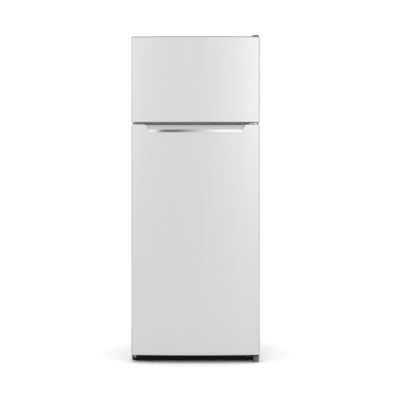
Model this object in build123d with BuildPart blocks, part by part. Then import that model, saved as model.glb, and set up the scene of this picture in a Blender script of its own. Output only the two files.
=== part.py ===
from build123d import *
import os
from math import cos, radians, sin, sqrt

# Top freezer refrigerator, free standing, about 206 litres, right-hinged doors.
# Millimetres, +Z up, doors facing -Y. The origin is on the floor, under the middle of the overall box.

os.makedirs("parts", exist_ok=True)

# Overall size
WIDTH = 550.0
DEPTH = 570.0
HEIGHT = 1406.0

# Sheet thicknesses
STEEL = 0.8
LINER = 1.5

# Depth stations, front to back
TRIM_PROUD = 1.5
DOOR_BOW = 12.0
DOOR_CROWN = -DEPTH / 2 + TRIM_PROUD
DOOR_EDGE = DOOR_CROWN + DOOR_BOW
DOOR_BACK = -230.0
CABINET_FRONT = -219.0
CABINET_BACK = 262.0
LINER_BACK = 215.0

# Height stations, bottom to top
SIDE_BOTTOM = 15.0
FRIDGE_DOOR_BOTTOM = 35.0
FRIDGE_DOOR_TOP = 1020.5
FREEZER_DOOR_BOTTOM = 1031.5
FREEZER_DOOR_TOP = 1398.0
ROOF = 1396.0
FOAM_BOTTOM = 55.0
FRIDGE_FLOOR = 95.0
FRIDGE_CEILING = 995.0
FREEZER_FLOOR = 1056.0
FREEZER_CEILING = 1346.0

# Half widths of the compartments, of the front steel frame's opening and of the plug-like door liners
FRIDGE_HALF = 233.0
FREEZER_HALF = 223.0
FRAME_HALF = 255.0
FRIDGE_DYKE_HALF = 224.0
FREEZER_DYKE_HALF = 214.0
DYKE_WIDTH = 34.0
DYKE_CREST = -193.0

# Machine room, behind and below the fridge compartment
ROOM_FRONT = 100.0
ROOM_TOP = 250.0
HUMP_FRONT = 66.0
HUMP_SHOULDER = 262.0
HUMP_TOP = 290.0

# Door hinge axis
PIN_X = 255.0
PIN_Y = -252.0
PIN_RADIUS = 4.0
PIN_CLEARANCE = 0.05
BUSH_RADIUS = 7.0
BUSH_LENGTH = 24.0
PIN_REACH = 20.0


def box_between(low, high, mode=Mode.ADD):
    """A box from its lowest to its highest corner."""
    middle = [(a + b) / 2 for a, b in zip(low, high)]
    size = [b - a for a, b in zip(low, high)]
    with Locations(tuple(middle)):
        Box(*size, mode=mode)


def facing_front(y):
    """A sketch plane at depth y: sketch x is +X, sketch y is +Z, and it extrudes towards the front."""
    return Plane.XZ.offset(-y)


def facing_right(x):
    """A sketch plane at x: sketch x is +Y, sketch y is +Z, and it extrudes towards +X."""
    return Plane.YZ.offset(x)


def finish(builder, name):
    """Label a finished piece and write its file."""
    builder.part.label = name
    export_step(builder.part, f"parts/{name}.step")


# ---------------------------------------------------------------- Cabinet shell

BEND_RADIUS = 4.0
FLANGE = 20.0
LIP_BACK = CABINET_FRONT + LINER
BACK_INNER = CABINET_BACK - STEEL
INNER_HALF = WIDTH / 2 - STEEL


def wrap_outline(inset, bottom):
    """The cabinet's front outline, moved in by inset, from height bottom up to the rounded roof."""
    top = ROOF - inset
    with BuildSketch(facing_front(CABINET_BACK), mode=Mode.PRIVATE) as outline:
        with Locations((0, (bottom + top) / 2)):
            Rectangle(WIDTH - 2 * inset, top - bottom)
        fillet(outline.vertices().group_by(Axis.Y)[-1], BEND_RADIUS - inset)
    return outline.sketch


shell_outside = wrap_outline(0, SIDE_BOTTOM)
shell_inside = wrap_outline(STEEL, SIDE_BOTTOM - 1)
foam_outline = wrap_outline(STEEL, FOAM_BOTTOM)
back_outline = wrap_outline(STEEL, ROOM_TOP + 1)

# Roof and both sides are one bent sheet, with a narrow flange turned in round the front
with BuildPart() as outer_shell:
    extrude(shell_outside, amount=CABINET_BACK - CABINET_FRONT)
    extrude(shell_inside, amount=CABINET_BACK - CABINET_FRONT - STEEL, mode=Mode.SUBTRACT)
    box_between(
        (-FRAME_HALF, CABINET_FRONT - STEEL, 0),
        (FRAME_HALF, CABINET_FRONT + 2 * STEEL, ROOF - FLANGE),
        mode=Mode.SUBTRACT,
    )
finish(outer_shell, "outer_shell")

BEAD_LENGTH = 900.0
BEAD_WIDTH = 26.0
BEAD_SPACING = 150.0
BEAD_DEPTH = 2.0
BEAD_MIDDLE = 820.0

# Rear sheet with shallow stiffening beads, pressed outwards
with BuildPart() as back_panel:
    extrude(back_outline, amount=STEEL)
    with BuildSketch(facing_front(BACK_INNER + STEEL / 2)):
        with Locations((0, BEAD_MIDDLE)):
            with GridLocations(BEAD_SPACING, 1, 3, 1):
                SlotOverall(BEAD_LENGTH, BEAD_WIDTH, rotation=90)
    extrude(amount=-BEAD_DEPTH)
finish(back_panel, "back_panel")

PLATE = 1.0

# Stepped floor: low under the fridge compartment, up and over the machine room behind it
with BuildPart() as bottom_plate:
    with BuildSketch(facing_right(-INNER_HALF)):
        with BuildLine():
            Polyline(
                (LIP_BACK, FOAM_BOTTOM - PLATE),
                (ROOM_FRONT, FOAM_BOTTOM - PLATE),
                (ROOM_FRONT, ROOM_TOP),
                (BACK_INNER, ROOM_TOP),
                (BACK_INNER, ROOM_TOP + PLATE),
                (ROOM_FRONT - PLATE, ROOM_TOP + PLATE),
                (ROOM_FRONT - PLATE, FOAM_BOTTOM),
                (LIP_BACK, FOAM_BOTTOM),
                close=True,
            )
        make_face()
    extrude(amount=2 * INNER_HALF)
finish(bottom_plate, "bottom_plate")

RAIL_HALF = WIDTH / 2 - 0.5
RAIL_TOP = 50.0
RAIL_BOTTOM = 5.0
RAIL_THICKNESS = 2.0
RAIL_RETURN = 60.0
RETURN_LOW = SIDE_BOTTOM - RAIL_THICKNESS
RAIL_FACE = CABINET_FRONT - RAIL_THICKNESS
STUD_RADIUS = 4.0
LEFT_FOOT = (-250.0, -190.0)
RIGHT_FOOT = (260.0, -238.0)

# Black cross rail under the doors, as wide as the cabinet, with a return behind it that carries
# the left front foot
with BuildPart() as base_rail:
    box_between((-RAIL_HALF, RAIL_FACE, RAIL_BOTTOM), (RAIL_HALF, CABINET_FRONT, RAIL_TOP))
    box_between(
        (-INNER_HALF, CABINET_FRONT, RETURN_LOW),
        (INNER_HALF, CABINET_FRONT + RAIL_RETURN, RETURN_LOW + RAIL_THICKNESS),
    )
    with Locations((*LEFT_FOOT, RETURN_LOW)):
        Cylinder(STUD_RADIUS + PIN_CLEARANCE, 4 * RAIL_THICKNESS, mode=Mode.SUBTRACT)
finish(base_rail, "base_rail")

CENTRE_RAIL_LOW = FRIDGE_CEILING + 8
CENTRE_RAIL_HIGH = FREEZER_FLOOR - 8
CENTRE_RAIL_DEPTH = 22.0

# Steel channel across the cabinet between the two openings
with BuildPart() as centre_rail:
    box_between(
        (-FRAME_HALF, CABINET_FRONT, CENTRE_RAIL_LOW),
        (FRAME_HALF, CABINET_FRONT + CENTRE_RAIL_DEPTH, CENTRE_RAIL_HIGH),
    )
    box_between(
        (-FRAME_HALF - 1, LIP_BACK, CENTRE_RAIL_LOW + LINER),
        (FRAME_HALF + 1, CABINET_FRONT + CENTRE_RAIL_DEPTH + 1, CENTRE_RAIL_HIGH - LINER),
        mode=Mode.SUBTRACT,
    )
finish(centre_rail, "centre_rail")

# ---------------------------------------------------------------- Liners and foam

LINER_CORNER = 14.0
RIB_THICKNESS = 6.0
RIB_REACH = 7.0
BEYOND = 20.0


def freezer_form(grow):
    """The freezer cavity as a block, grown outwards, and running out past the cabinet's front."""
    with BuildPart(mode=Mode.PRIVATE) as form:
        box_between(
            (-FREEZER_HALF - grow, CABINET_FRONT - BEYOND, FREEZER_FLOOR - grow),
            (FREEZER_HALF + grow, LINER_BACK + grow, FREEZER_CEILING + grow),
        )
        back_edges = form.faces().sort_by(Axis.Y)[-1].edges()
        fillet(form.edges().filter_by(Axis.Y) + back_edges, LINER_CORNER + grow)
    return form.part


def fridge_form(grow):
    """The fridge cavity as a block, with the step over the machine room, grown outwards."""
    with BuildPart(mode=Mode.PRIVATE) as form:
        with BuildSketch(facing_right(-FRIDGE_HALF - grow)) as profile:
            with BuildLine():
                Polyline(
                    (CABINET_FRONT - BEYOND, FRIDGE_FLOOR),
                    (HUMP_FRONT, FRIDGE_FLOOR),
                    (HUMP_FRONT, HUMP_SHOULDER),
                    (HUMP_FRONT + 30, HUMP_TOP),
                    (LINER_BACK, HUMP_TOP),
                    (LINER_BACK, FRIDGE_CEILING),
                    (CABINET_FRONT - BEYOND, FRIDGE_CEILING),
                    close=True,
                )
            make_face()
            fillet(profile.vertices().filter_by_position(Axis.X, 0, LINER_BACK + 1), LINER_CORNER)
            if grow:
                offset(amount=grow)
        extrude(amount=2 * (FRIDGE_HALF + grow))
    return form.part


def front_lip(half, low, high, frame_low, frame_high, corner):
    """The flat rim of a liner that covers the cabinet's front face round its opening."""
    with BuildPart(mode=Mode.PRIVATE) as lip:
        with BuildSketch(facing_front(LIP_BACK)):
            with Locations((0, (frame_low + frame_high) / 2)):
                Rectangle(2 * FRAME_HALF, frame_high - frame_low)
            with Locations((0, (low + high) / 2)):
                if corner:
                    RectangleRounded(2 * half, high - low, corner, mode=Mode.SUBTRACT)
                else:
                    Rectangle(2 * half, high - low, mode=Mode.SUBTRACT)
        extrude(amount=LINER)
    return lip.part


def side_ribs(half, heights, front, back):
    """Shelf runners on both side walls, with their top faces at the given heights."""
    for z in heights:
        for side in (-1, 1):
            left, right = sorted((side * (half - RIB_REACH), side * (half + LINER / 2)))
            box_between((left, front, z - RIB_THICKNESS), (right, back, z))


FREEZER_SHELF_Z = 1200.0
FREEZER_SHELF_FRONT = -112.0
CRISPER_COVER_Z = HUMP_TOP
LOWER_SHELF_Z = 520.0
UPPER_SHELF_Z = 750.0
SPARE_RUNNERS = (405.0, 635.0, 865.0)
SHELF_FRONT = -110.0
SHELF_BACK = 200.0
RUNNER_FRONT = SHELF_FRONT + 15
COVER_FRONT = 148.0

freezer_outside, freezer_inside = freezer_form(LINER), freezer_form(0)
fridge_outside, fridge_inside = fridge_form(LINER), fridge_form(0)
freezer_lip = front_lip(
    FREEZER_HALF, FREEZER_FLOOR, FREEZER_CEILING, CENTRE_RAIL_HIGH, ROOF - FLANGE, LINER_CORNER
)
fridge_lip = front_lip(FRIDGE_HALF, FRIDGE_FLOOR, FRIDGE_CEILING, RAIL_TOP, CENTRE_RAIL_LOW, 0)

with BuildPart() as freezer_liner:
    add(freezer_outside)
    add(freezer_inside, mode=Mode.SUBTRACT)
    box_between(
        (-WIDTH, CABINET_FRONT - 2 * BEYOND, 0), (WIDTH, CABINET_FRONT, HEIGHT), mode=Mode.SUBTRACT
    )
    add(freezer_lip)
    side_ribs(FREEZER_HALF, (FREEZER_SHELF_Z,), FREEZER_SHELF_FRONT - 3, COVER_FRONT - 2)
finish(freezer_liner, "freezer_liner")

with BuildPart() as fridge_liner:
    add(fridge_outside)
    add(fridge_inside, mode=Mode.SUBTRACT)
    box_between(
        (-WIDTH, CABINET_FRONT - 2 * BEYOND, 0), (WIDTH, CABINET_FRONT, HEIGHT), mode=Mode.SUBTRACT
    )
    add(fridge_lip)
    side_ribs(FRIDGE_HALF, (CRISPER_COVER_Z,), RUNNER_FRONT, HUMP_FRONT - 4)
    side_ribs(
        FRIDGE_HALF, (LOWER_SHELF_Z, UPPER_SHELF_Z, *SPARE_RUNNERS), RUNNER_FRONT, SHELF_BACK - 12
    )
finish(fridge_liner, "fridge_liner")

MULLION = (FRIDGE_CEILING + FREEZER_FLOOR) / 2
fridge_wall = FRIDGE_HALF + LINER
freezer_wall = FREEZER_HALF + LINER
liner_rear = LINER_BACK + LINER
step_top = ROOM_TOP + PLATE
step_front = ROOM_FRONT - PLATE
foam_roof = ROOF - STEEL
foam_space = extrude(foam_outline, amount=CABINET_BACK - LIP_BACK)


def foam_slab(low, high):
    """One flat slab of the cabinet's foam, trimmed to the shell, the centre rail and the fridge liner."""
    with BuildPart(mode=Mode.PRIVATE) as slab:
        box_between(low, high)
        add(foam_space, mode=Mode.INTERSECT)
        add(centre_rail.part, mode=Mode.SUBTRACT)
        add(fridge_outside, mode=Mode.SUBTRACT)
    return slab.part


# Foam round the fridge compartment: low sides, high sides, floor, step wall, step, back and ceiling
foam_slabs = [
    foam_slab((-INNER_HALF, LIP_BACK, FOAM_BOTTOM), (-fridge_wall, step_front, step_top)),
    foam_slab((fridge_wall, LIP_BACK, FOAM_BOTTOM), (INNER_HALF, step_front, step_top)),
    foam_slab((-INNER_HALF, LIP_BACK, step_top), (-fridge_wall, BACK_INNER, MULLION)),
    foam_slab((fridge_wall, LIP_BACK, step_top), (INNER_HALF, BACK_INNER, MULLION)),
    foam_slab((-fridge_wall, LIP_BACK, FOAM_BOTTOM), (fridge_wall, step_front, FRIDGE_FLOOR - LINER)),
    foam_slab(
        (-fridge_wall, HUMP_FRONT - LINER, FRIDGE_FLOOR - LINER), (fridge_wall, step_front, step_top)
    ),
    foam_slab((-fridge_wall, HUMP_FRONT - LINER, step_top), (fridge_wall, BACK_INNER, HUMP_TOP - LINER)),
    foam_slab((-fridge_wall, liner_rear, HUMP_TOP - LINER), (fridge_wall, BACK_INNER, MULLION)),
    foam_slab((-fridge_wall, LIP_BACK, FRIDGE_CEILING + LINER), (fridge_wall, liner_rear, MULLION)),
]
# Foam round the freezer compartment: sides, back, floor and ceiling
foam_slabs += [
    foam_slab((-INNER_HALF, LIP_BACK, MULLION), (-freezer_wall, BACK_INNER, foam_roof)),
    foam_slab((freezer_wall, LIP_BACK, MULLION), (INNER_HALF, BACK_INNER, foam_roof)),
    foam_slab((-freezer_wall, liner_rear, MULLION), (freezer_wall, BACK_INNER, foam_roof)),
    foam_slab((-freezer_wall, LIP_BACK, MULLION), (freezer_wall, liner_rear, FREEZER_FLOOR - LINER)),
    foam_slab((-freezer_wall, LIP_BACK, FREEZER_CEILING + LINER), (freezer_wall, liner_rear, foam_roof)),
]

# Foamed in place between the sheet metal and the liners, as slabs that meet face to face
with BuildPart() as cabinet_foam:
    add(foam_slabs, mode=Mode.REPLACE)
finish(cabinet_foam, "cabinet_foam")

# ---------------------------------------------------------------- Door building blocks

DOOR_CORNER = 9.0
CAP_LIP = 2.0
TOP_LIP = 4.5
CAP_PLUG = 10.0
CAP_EDGE = 1.5
SKIN_FLANGE = 14.0
LINER_FRONT = DOOR_BACK - LINER
GASKET_INSET = 20.0
GASKET_WIDTH = 18.0
GASKET_BACK = CABINET_FRONT - 0.5
DYKE_CORNER = 16.0


BOW_RADIUS = ((WIDTH / 2) ** 2 + DOOR_BOW**2) / (2 * DOOR_BOW)


def bow_line(shift, half):
    """The bowed front line of a door, moved back by shift and ending at half width on both sides."""
    ends = DOOR_CROWN + shift + BOW_RADIUS - sqrt(BOW_RADIUS**2 - half**2)
    ThreePointArc((-half, ends), (0, DOOR_CROWN + shift), (half, ends))
    return ends


def door_block(low, high, inset, back=LINER_FRONT):
    """A door's bowed outline moved in by inset, from height low to high, with its back face at back."""
    half = WIDTH / 2
    with BuildPart(mode=Mode.PRIVATE) as block:
        with BuildSketch(Plane.XY.offset(low)) as outline:
            with BuildLine():
                ends = bow_line(0, half)
                Polyline((half, ends), (half, back), (-half, back), (-half, ends))
            make_face()
            fillet(outline.vertices().group_by(Axis.Y)[0], DOOR_CORNER)
            if inset:
                offset(amount=-inset, kind=Kind.INTERSECTION, mode=Mode.REPLACE)
        extrude(amount=high - low)
    return block.part


def ring_sketch(y, half, low, high, width, corner):
    """A rounded rectangular ring on the front-facing plane at depth y."""
    with BuildSketch(facing_front(y), mode=Mode.PRIVATE) as ring:
        with Locations((0, (low + high) / 2)):
            RectangleRounded(2 * half, high - low, corner)
            RectangleRounded(
                2 * (half - width), high - low - 2 * width, max(corner - width / 3, 2), mode=Mode.SUBTRACT
            )
    return ring.sketch


def dyke_ring(half, low, high, shrink):
    """The raised rim on a door's inner face. shrink gives the space inside it, for the foam."""
    crest = DYKE_CREST - shrink
    outline = ring_sketch(
        crest, half - shrink, low + shrink, high - shrink, DYKE_WIDTH - 2 * shrink, DYKE_CORNER
    )
    with BuildPart(mode=Mode.PRIVATE) as ring:
        extrude(outline, amount=crest - LINER_FRONT)
        fillet(ring.faces().sort_by(Axis.Y)[-1].edges(), 5 - shrink)
    return ring.part


def lip_block(shift_front, shift_back, low, high, half):
    """A strip that follows the door's bow, between two depths behind its front surface."""
    with BuildPart(mode=Mode.PRIVATE) as strip:
        with BuildSketch(Plane.XY.offset(low)):
            with BuildLine():
                ends = bow_line(shift_front, half)
                back_ends = bow_line(shift_back, half)
                Line((-half, ends), (-half, back_ends))
                Line((half, ends), (half, back_ends))
            make_face()
        extrude(amount=high - low)
    return strip.part


def bush_seats(heights):
    """Take round seats for the hinge bushes out of a door piece, each from a height upwards."""
    for z in heights:
        with Locations((PIN_X, PIN_Y, z + BUSH_LENGTH / 2)):
            Cylinder(BUSH_RADIUS, BUSH_LENGTH, mode=Mode.SUBTRACT)


def door_skin(low, high):
    """Bowed front sheet, folded round both sides, with a narrow flange at the back."""
    outside = door_block(low, high, 0)
    inside = door_block(low - STEEL, high + STEEL, STEEL)
    inner = WIDTH / 2 - SKIN_FLANGE
    with BuildPart(mode=Mode.PRIVATE) as skin:
        add(outside)
        add(inside, mode=Mode.SUBTRACT)
        box_between((-inner, LINER_FRONT - 5, low), (inner, LINER_FRONT + 1, high), mode=Mode.SUBTRACT)
    return skin.part


def door_filling(low, high):
    """What fills a door's skin between two heights, up to the back sheet and clear of its flanges."""
    filling = door_block(low, high, STEEL, LINER_FRONT + STEEL)
    inner = WIDTH / 2 - SKIN_FLANGE
    with BuildPart(mode=Mode.PRIVATE) as trimmed:
        add(filling)
        for left, right in ((-WIDTH, -inner), (inner, WIDTH)):
            box_between((left, LINER_FRONT - STEEL, low), (right, LINER_FRONT, high), mode=Mode.SUBTRACT)
    return trimmed.part


def door_liner(half, low, high, dyke_low, dyke_high, lug_heights):
    """Vacuum-formed inner panel: a flat sheet, a raised rim that plugs the opening, and bin lugs."""
    outer_ring = dyke_ring(half, dyke_low, dyke_high, 0)
    inner_ring = dyke_ring(half, dyke_low, dyke_high, LINER)
    with BuildPart(mode=Mode.PRIVATE) as panel:
        box_between((1 - WIDTH / 2, LINER_FRONT, low), (WIDTH / 2 - 1, DOOR_BACK, high))
        add(outer_ring)
        add(inner_ring, mode=Mode.SUBTRACT)
        lug_inner = half - DYKE_WIDTH - LUG_REACH
        for z in lug_heights:
            for side in (-1, 1):
                left, right = sorted((side * lug_inner, side * (half - DYKE_WIDTH + LINER / 2)))
                box_between((left, DOOR_BACK + 8, z - LUG_HEIGHT), (right, DYKE_CREST - 8, z))
    return panel.part


def door_foam(half, low, high, dyke_low, dyke_high):
    """Foamed in place between the skin, the two end caps and the inner panel."""
    filling = door_filling(low + CAP_PLUG, high - CAP_PLUG)
    ring = dyke_ring(half, dyke_low, dyke_high, LINER)
    with BuildPart(mode=Mode.PRIVATE) as foam:
        add(filling)
        add(ring)
    return foam.part


def end_cap(seam, end):
    """A door's end moulding: a lip of the full outline from the seam to the end, and a plug in the skin."""
    upward = end > seam
    plug_end = seam - CAP_PLUG if upward else seam + CAP_PLUG
    lip = door_block(min(seam, end), max(seam, end), 0, DOOR_BACK)
    plug = door_filling(min(seam, plug_end), max(seam, plug_end))
    with BuildPart(mode=Mode.PRIVATE) as cap:
        add(lip)
        outer_face = cap.faces().sort_by(Axis.Z)[-1 if upward else 0]
        fillet(outer_face.edges().sort_by(Axis.Y)[:3], CAP_EDGE)
        add(plug)
    return cap.part


def gasket(low, high):
    """Magnetic seal: a soft ring between the door and the cabinet's front, with a bellows groove."""
    half = WIDTH / 2 - GASKET_INSET
    outline = ring_sketch(GASKET_BACK, half, low + GASKET_INSET, high - GASKET_INSET, GASKET_WIDTH, 8)
    groove = ring_sketch(
        GASKET_BACK - 4, half + 1, low + GASKET_INSET - 1, high - GASKET_INSET + 1, 4, 8
    )
    with BuildPart(mode=Mode.PRIVATE) as seal:
        extrude(outline, amount=GASKET_BACK - DOOR_BACK)
        extrude(groove, amount=3, mode=Mode.SUBTRACT)
    return seal.part


def bushes(heights):
    """Plastic sleeves that the hinge pins turn in."""
    with BuildPart(mode=Mode.PRIVATE) as sleeves:
        for z in heights:
            with Locations((PIN_X, PIN_Y, z + BUSH_LENGTH / 2)):
                Cylinder(BUSH_RADIUS, BUSH_LENGTH)
                Cylinder(PIN_RADIUS + PIN_CLEARANCE, BUSH_LENGTH, mode=Mode.SUBTRACT)
    return sleeves.part


BIN_WALL = 2.2
BIN_FRONT = -130.0
BIN_RIM = 3.0
BIN_RIM_HEIGHT = 4.0
BIN_CORNER = 16.0
BIN_CLEARANCE = 0.8
LUG_REACH = 3.0
LUG_HEIGHT = 6.0


def door_bin(dyke_half, floor, height):
    """A tub that hangs on the lugs of the door's inner panel by its turned-out rim."""
    half = dyke_half - DYKE_WIDTH - BIN_CLEARANCE
    back = DOOR_BACK + BIN_CLEARANCE
    depth = BIN_FRONT - back
    centre = (0, (back + BIN_FRONT) / 2)
    inner = 2 * (BIN_RIM + BIN_WALL)
    with BuildPart(mode=Mode.PRIVATE) as tub:
        with BuildSketch(Plane.XY.offset(floor)):
            with Locations(centre):
                RectangleRounded(2 * (half - BIN_RIM), depth - 2 * BIN_RIM, BIN_CORNER)
        extrude(amount=height)
        fillet(tub.faces().sort_by(Axis.Z)[0].edges(), 1.8)
        with BuildSketch(Plane.XY.offset(floor + height - BIN_RIM_HEIGHT)):
            with Locations(centre):
                RectangleRounded(2 * half, depth, BIN_CORNER + BIN_RIM)
        extrude(amount=BIN_RIM_HEIGHT)
        with BuildSketch(Plane.XY.offset(floor + BIN_WALL)):
            with Locations(centre):
                RectangleRounded(2 * half - inner, depth - inner, BIN_CORNER - BIN_WALL)
        extrude(amount=height, mode=Mode.SUBTRACT)
    return tub.part


# ---------------------------------------------------------------- Freezer door

FREEZER_DYKE = (FREEZER_DOOR_BOTTOM + GASKET_INSET + GASKET_WIDTH + 3, FREEZER_CEILING - 9)
FREEZER_BINS = ((1112.0, 60.0), (1230.0, 54.0))
GROOVE_HALF = 200.0
GROOVE_DEPTH = 20.0
GROOVE_FRONT = -271.0
GROOVE_BACK = -250.0
GROOVE_WALL = 2.0

freezer_low, freezer_high = FREEZER_DOOR_BOTTOM, FREEZER_DOOR_TOP
freezer_skin = (freezer_low + CAP_LIP, freezer_high - TOP_LIP)
freezer_seats = (freezer_low, freezer_high - BUSH_LENGTH)
rim_heights = [floor + height - BIN_RIM_HEIGHT for floor, height in FREEZER_BINS]
groove_block = (
    (-GROOVE_HALF - GROOVE_WALL, GROOVE_FRONT - GROOVE_WALL, freezer_low + CAP_LIP),
    (GROOVE_HALF + GROOVE_WALL, GROOVE_BACK + GROOVE_WALL, freezer_low + GROOVE_DEPTH + GROOVE_WALL),
)

panel = door_skin(*freezer_skin)
with BuildPart() as freezer_door_skin:
    add(panel)
finish(freezer_door_skin, "freezer_door_skin")

panel = door_liner(FREEZER_DYKE_HALF, *freezer_skin, *FREEZER_DYKE, rim_heights)
with BuildPart() as freezer_door_liner:
    add(panel)
finish(freezer_door_liner, "freezer_door_liner")

filling = door_foam(FREEZER_DYKE_HALF, *freezer_skin, *FREEZER_DYKE)
with BuildPart() as freezer_door_foam:
    add(filling)
    bush_seats(freezer_seats)
    box_between(*groove_block, mode=Mode.SUBTRACT)
finish(freezer_door_foam, "freezer_door_foam")

cap = end_cap(freezer_skin[1], freezer_high)
with BuildPart() as freezer_door_top_cap:
    add(cap)
    bush_seats(freezer_seats)
finish(freezer_door_top_cap, "freezer_door_top_cap")

# The bottom moulding has a finger groove in its underside
cap = end_cap(freezer_skin[0], freezer_low)
with BuildPart() as freezer_door_bottom_cap:
    add(cap)
    bush_seats(freezer_seats)
    box_between(*groove_block)
    box_between(
        (-GROOVE_HALF, GROOVE_FRONT, freezer_low - 1),
        (GROOVE_HALF, GROOVE_BACK, freezer_low + GROOVE_DEPTH),
        mode=Mode.SUBTRACT,
    )
finish(freezer_door_bottom_cap, "freezer_door_bottom_cap")

seal = gasket(freezer_low, freezer_high)
with BuildPart() as freezer_door_gasket:
    add(seal)
finish(freezer_door_gasket, "freezer_door_gasket")

sleeves = bushes(freezer_seats)
with BuildPart() as freezer_door_bushes:
    add(sleeves)
finish(freezer_door_bushes, "freezer_door_bushes")

tubs = [door_bin(FREEZER_DYKE_HALF, floor, height) for floor, height in FREEZER_BINS]
with BuildPart() as freezer_door_bins:
    add(tubs)
finish(freezer_door_bins, "freezer_door_bins")

# ---------------------------------------------------------------- Fridge door

FRIDGE_DYKE = (FRIDGE_FLOOR + 9, FRIDGE_DOOR_TOP - GASKET_INSET - GASKET_WIDTH - 3)
BOTTLE_BIN = (318.0, 96.0)
FRIDGE_BINS = ((660.0, 70.0), (850.0, 62.0))

# Handle pocket in the top of the door, behind a trapezoid notch in its front
NOTCH_BOTTOM = 998.0
NOTCH_TOP_HALF = 215.0
NOTCH_BOTTOM_HALF = 200.0
POCKET_FLOOR = 972.0
POCKET_FLOOR_HALF = 190.0
POCKET_BACK_TOP = -246.0
POCKET_BACK_FLOOR = -258.0
POCKET_WALL = 2.0
LIP_THICKNESS = 6.0
TRIM_BOTTOM = 987.5
TRIM_HALF = 201.0
TRIM_HOOK = 1.2

fridge_low, fridge_high = FRIDGE_DOOR_BOTTOM, FRIDGE_DOOR_TOP
fridge_skin = (fridge_low + CAP_LIP, fridge_high - CAP_LIP)
fridge_seats = (fridge_low, fridge_high - BUSH_LENGTH)
rim_heights = [floor + height - BIN_RIM_HEIGHT for floor, height in (BOTTLE_BIN, *FRIDGE_BINS)]


def notch_prism(low, high):
    """The trapezoid notch, seen from the front, as a prism through the door's front."""
    slope = (NOTCH_TOP_HALF - NOTCH_BOTTOM_HALF) / (FRIDGE_DOOR_TOP - NOTCH_BOTTOM)
    top_half = NOTCH_BOTTOM_HALF + slope * (high - NOTCH_BOTTOM)
    with BuildPart(mode=Mode.PRIVATE) as prism:
        with BuildSketch(facing_front(DOOR_EDGE + 20)):
            with BuildLine():
                Polyline(
                    (-NOTCH_BOTTOM_HALF, low),
                    (NOTCH_BOTTOM_HALF, low),
                    (top_half, high),
                    (-top_half, high),
                    close=True,
                )
            make_face()
        extrude(amount=60)
    return prism.part


def pocket_form(grow, top):
    """The handle pocket's space, grown outwards by a wall thickness, up to height top."""
    ahead = DOOR_CROWN - 20
    with BuildPart(mode=Mode.PRIVATE) as form:
        with BuildSketch(facing_right(-NOTCH_TOP_HALF - 10)):
            with BuildLine():
                Polyline(
                    (ahead, top),
                    (ahead, POCKET_FLOOR - grow),
                    (POCKET_BACK_FLOOR + grow, POCKET_FLOOR - grow),
                    (POCKET_BACK_TOP + grow, top),
                    close=True,
                )
            make_face()
        extrude(amount=2 * NOTCH_TOP_HALF + 20)
        with BuildSketch(facing_front(DOOR_BACK)):
            with BuildLine():
                Polyline(
                    (-NOTCH_TOP_HALF - grow, top),
                    (-NOTCH_TOP_HALF - grow, FRIDGE_DOOR_TOP - 0.1),
                    (-NOTCH_BOTTOM_HALF - grow, NOTCH_BOTTOM),
                    (-POCKET_FLOOR_HALF - grow, POCKET_FLOOR - grow),
                    (POCKET_FLOOR_HALF + grow, POCKET_FLOOR - grow),
                    (NOTCH_BOTTOM_HALF + grow, NOTCH_BOTTOM),
                    (NOTCH_TOP_HALF + grow, FRIDGE_DOOR_TOP - 0.1),
                    (NOTCH_TOP_HALF + grow, top),
                    close=True,
                )
            make_face()
        extrude(amount=100, mode=Mode.INTERSECT)
    return form.part


pocket_outside = pocket_form(POCKET_WALL, fridge_high)
pocket_inside = pocket_form(0, fridge_high + 1)
pocket_wall = pocket_outside & door_block(POCKET_FLOOR - 5, fridge_high, STEEL)
lip_zone = lip_block(-30, LIP_THICKNESS, POCKET_FLOOR - 5, NOTCH_BOTTOM, WIDTH / 2)
pocket_space = pocket_inside - lip_zone

panel = door_skin(*fridge_skin)
notch = notch_prism(NOTCH_BOTTOM, fridge_high + 1)
with BuildPart() as fridge_door_skin:
    add(panel)
    add(notch, mode=Mode.SUBTRACT)
finish(fridge_door_skin, "fridge_door_skin")

panel = door_liner(FRIDGE_DYKE_HALF, *fridge_skin, *FRIDGE_DYKE, rim_heights)
with BuildPart() as fridge_door_liner:
    add(panel)
finish(fridge_door_liner, "fridge_door_liner")

filling = door_foam(FRIDGE_DYKE_HALF, *fridge_skin, *FRIDGE_DYKE)
with BuildPart() as fridge_door_foam:
    add(filling)
    bush_seats(fridge_seats)
    add(pocket_outside, mode=Mode.SUBTRACT)
finish(fridge_door_foam, "fridge_door_foam")

# The top moulding carries the handle pocket, whose front lip stands behind the skin
cap = end_cap(fridge_skin[1], fridge_high)
with BuildPart() as fridge_door_top_cap:
    add(cap)
    bush_seats(fridge_seats)
    add(pocket_wall)
    add(pocket_space, mode=Mode.SUBTRACT)
finish(fridge_door_top_cap, "fridge_door_top_cap")

# Bright strip along the pocket's lip: it hugs the bowed front and hooks over the lip's top edge
face = lip_block(-TRIM_PROUD, 0, TRIM_BOTTOM, NOTCH_BOTTOM, TRIM_HALF)
hook = lip_block(
    -TRIM_PROUD, LIP_THICKNESS, NOTCH_BOTTOM, NOTCH_BOTTOM + TRIM_HOOK, NOTCH_BOTTOM_HALF - 0.5
)
with BuildPart() as handle_trim:
    add(face)
    add(hook)
finish(handle_trim, "handle_trim")

cap = end_cap(fridge_skin[0], fridge_low)
with BuildPart() as fridge_door_bottom_cap:
    add(cap)
    bush_seats(fridge_seats)
finish(fridge_door_bottom_cap, "fridge_door_bottom_cap")

seal = gasket(fridge_low, fridge_high)
with BuildPart() as fridge_door_gasket:
    add(seal)
finish(fridge_door_gasket, "fridge_door_gasket")

sleeves = bushes(fridge_seats)
with BuildPart() as fridge_door_bushes:
    add(sleeves)
finish(fridge_door_bushes, "fridge_door_bushes")

tub = door_bin(FRIDGE_DYKE_HALF, *BOTTLE_BIN)
with BuildPart() as bottle_bin:
    add(tub)
finish(bottle_bin, "bottle_bin")

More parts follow.
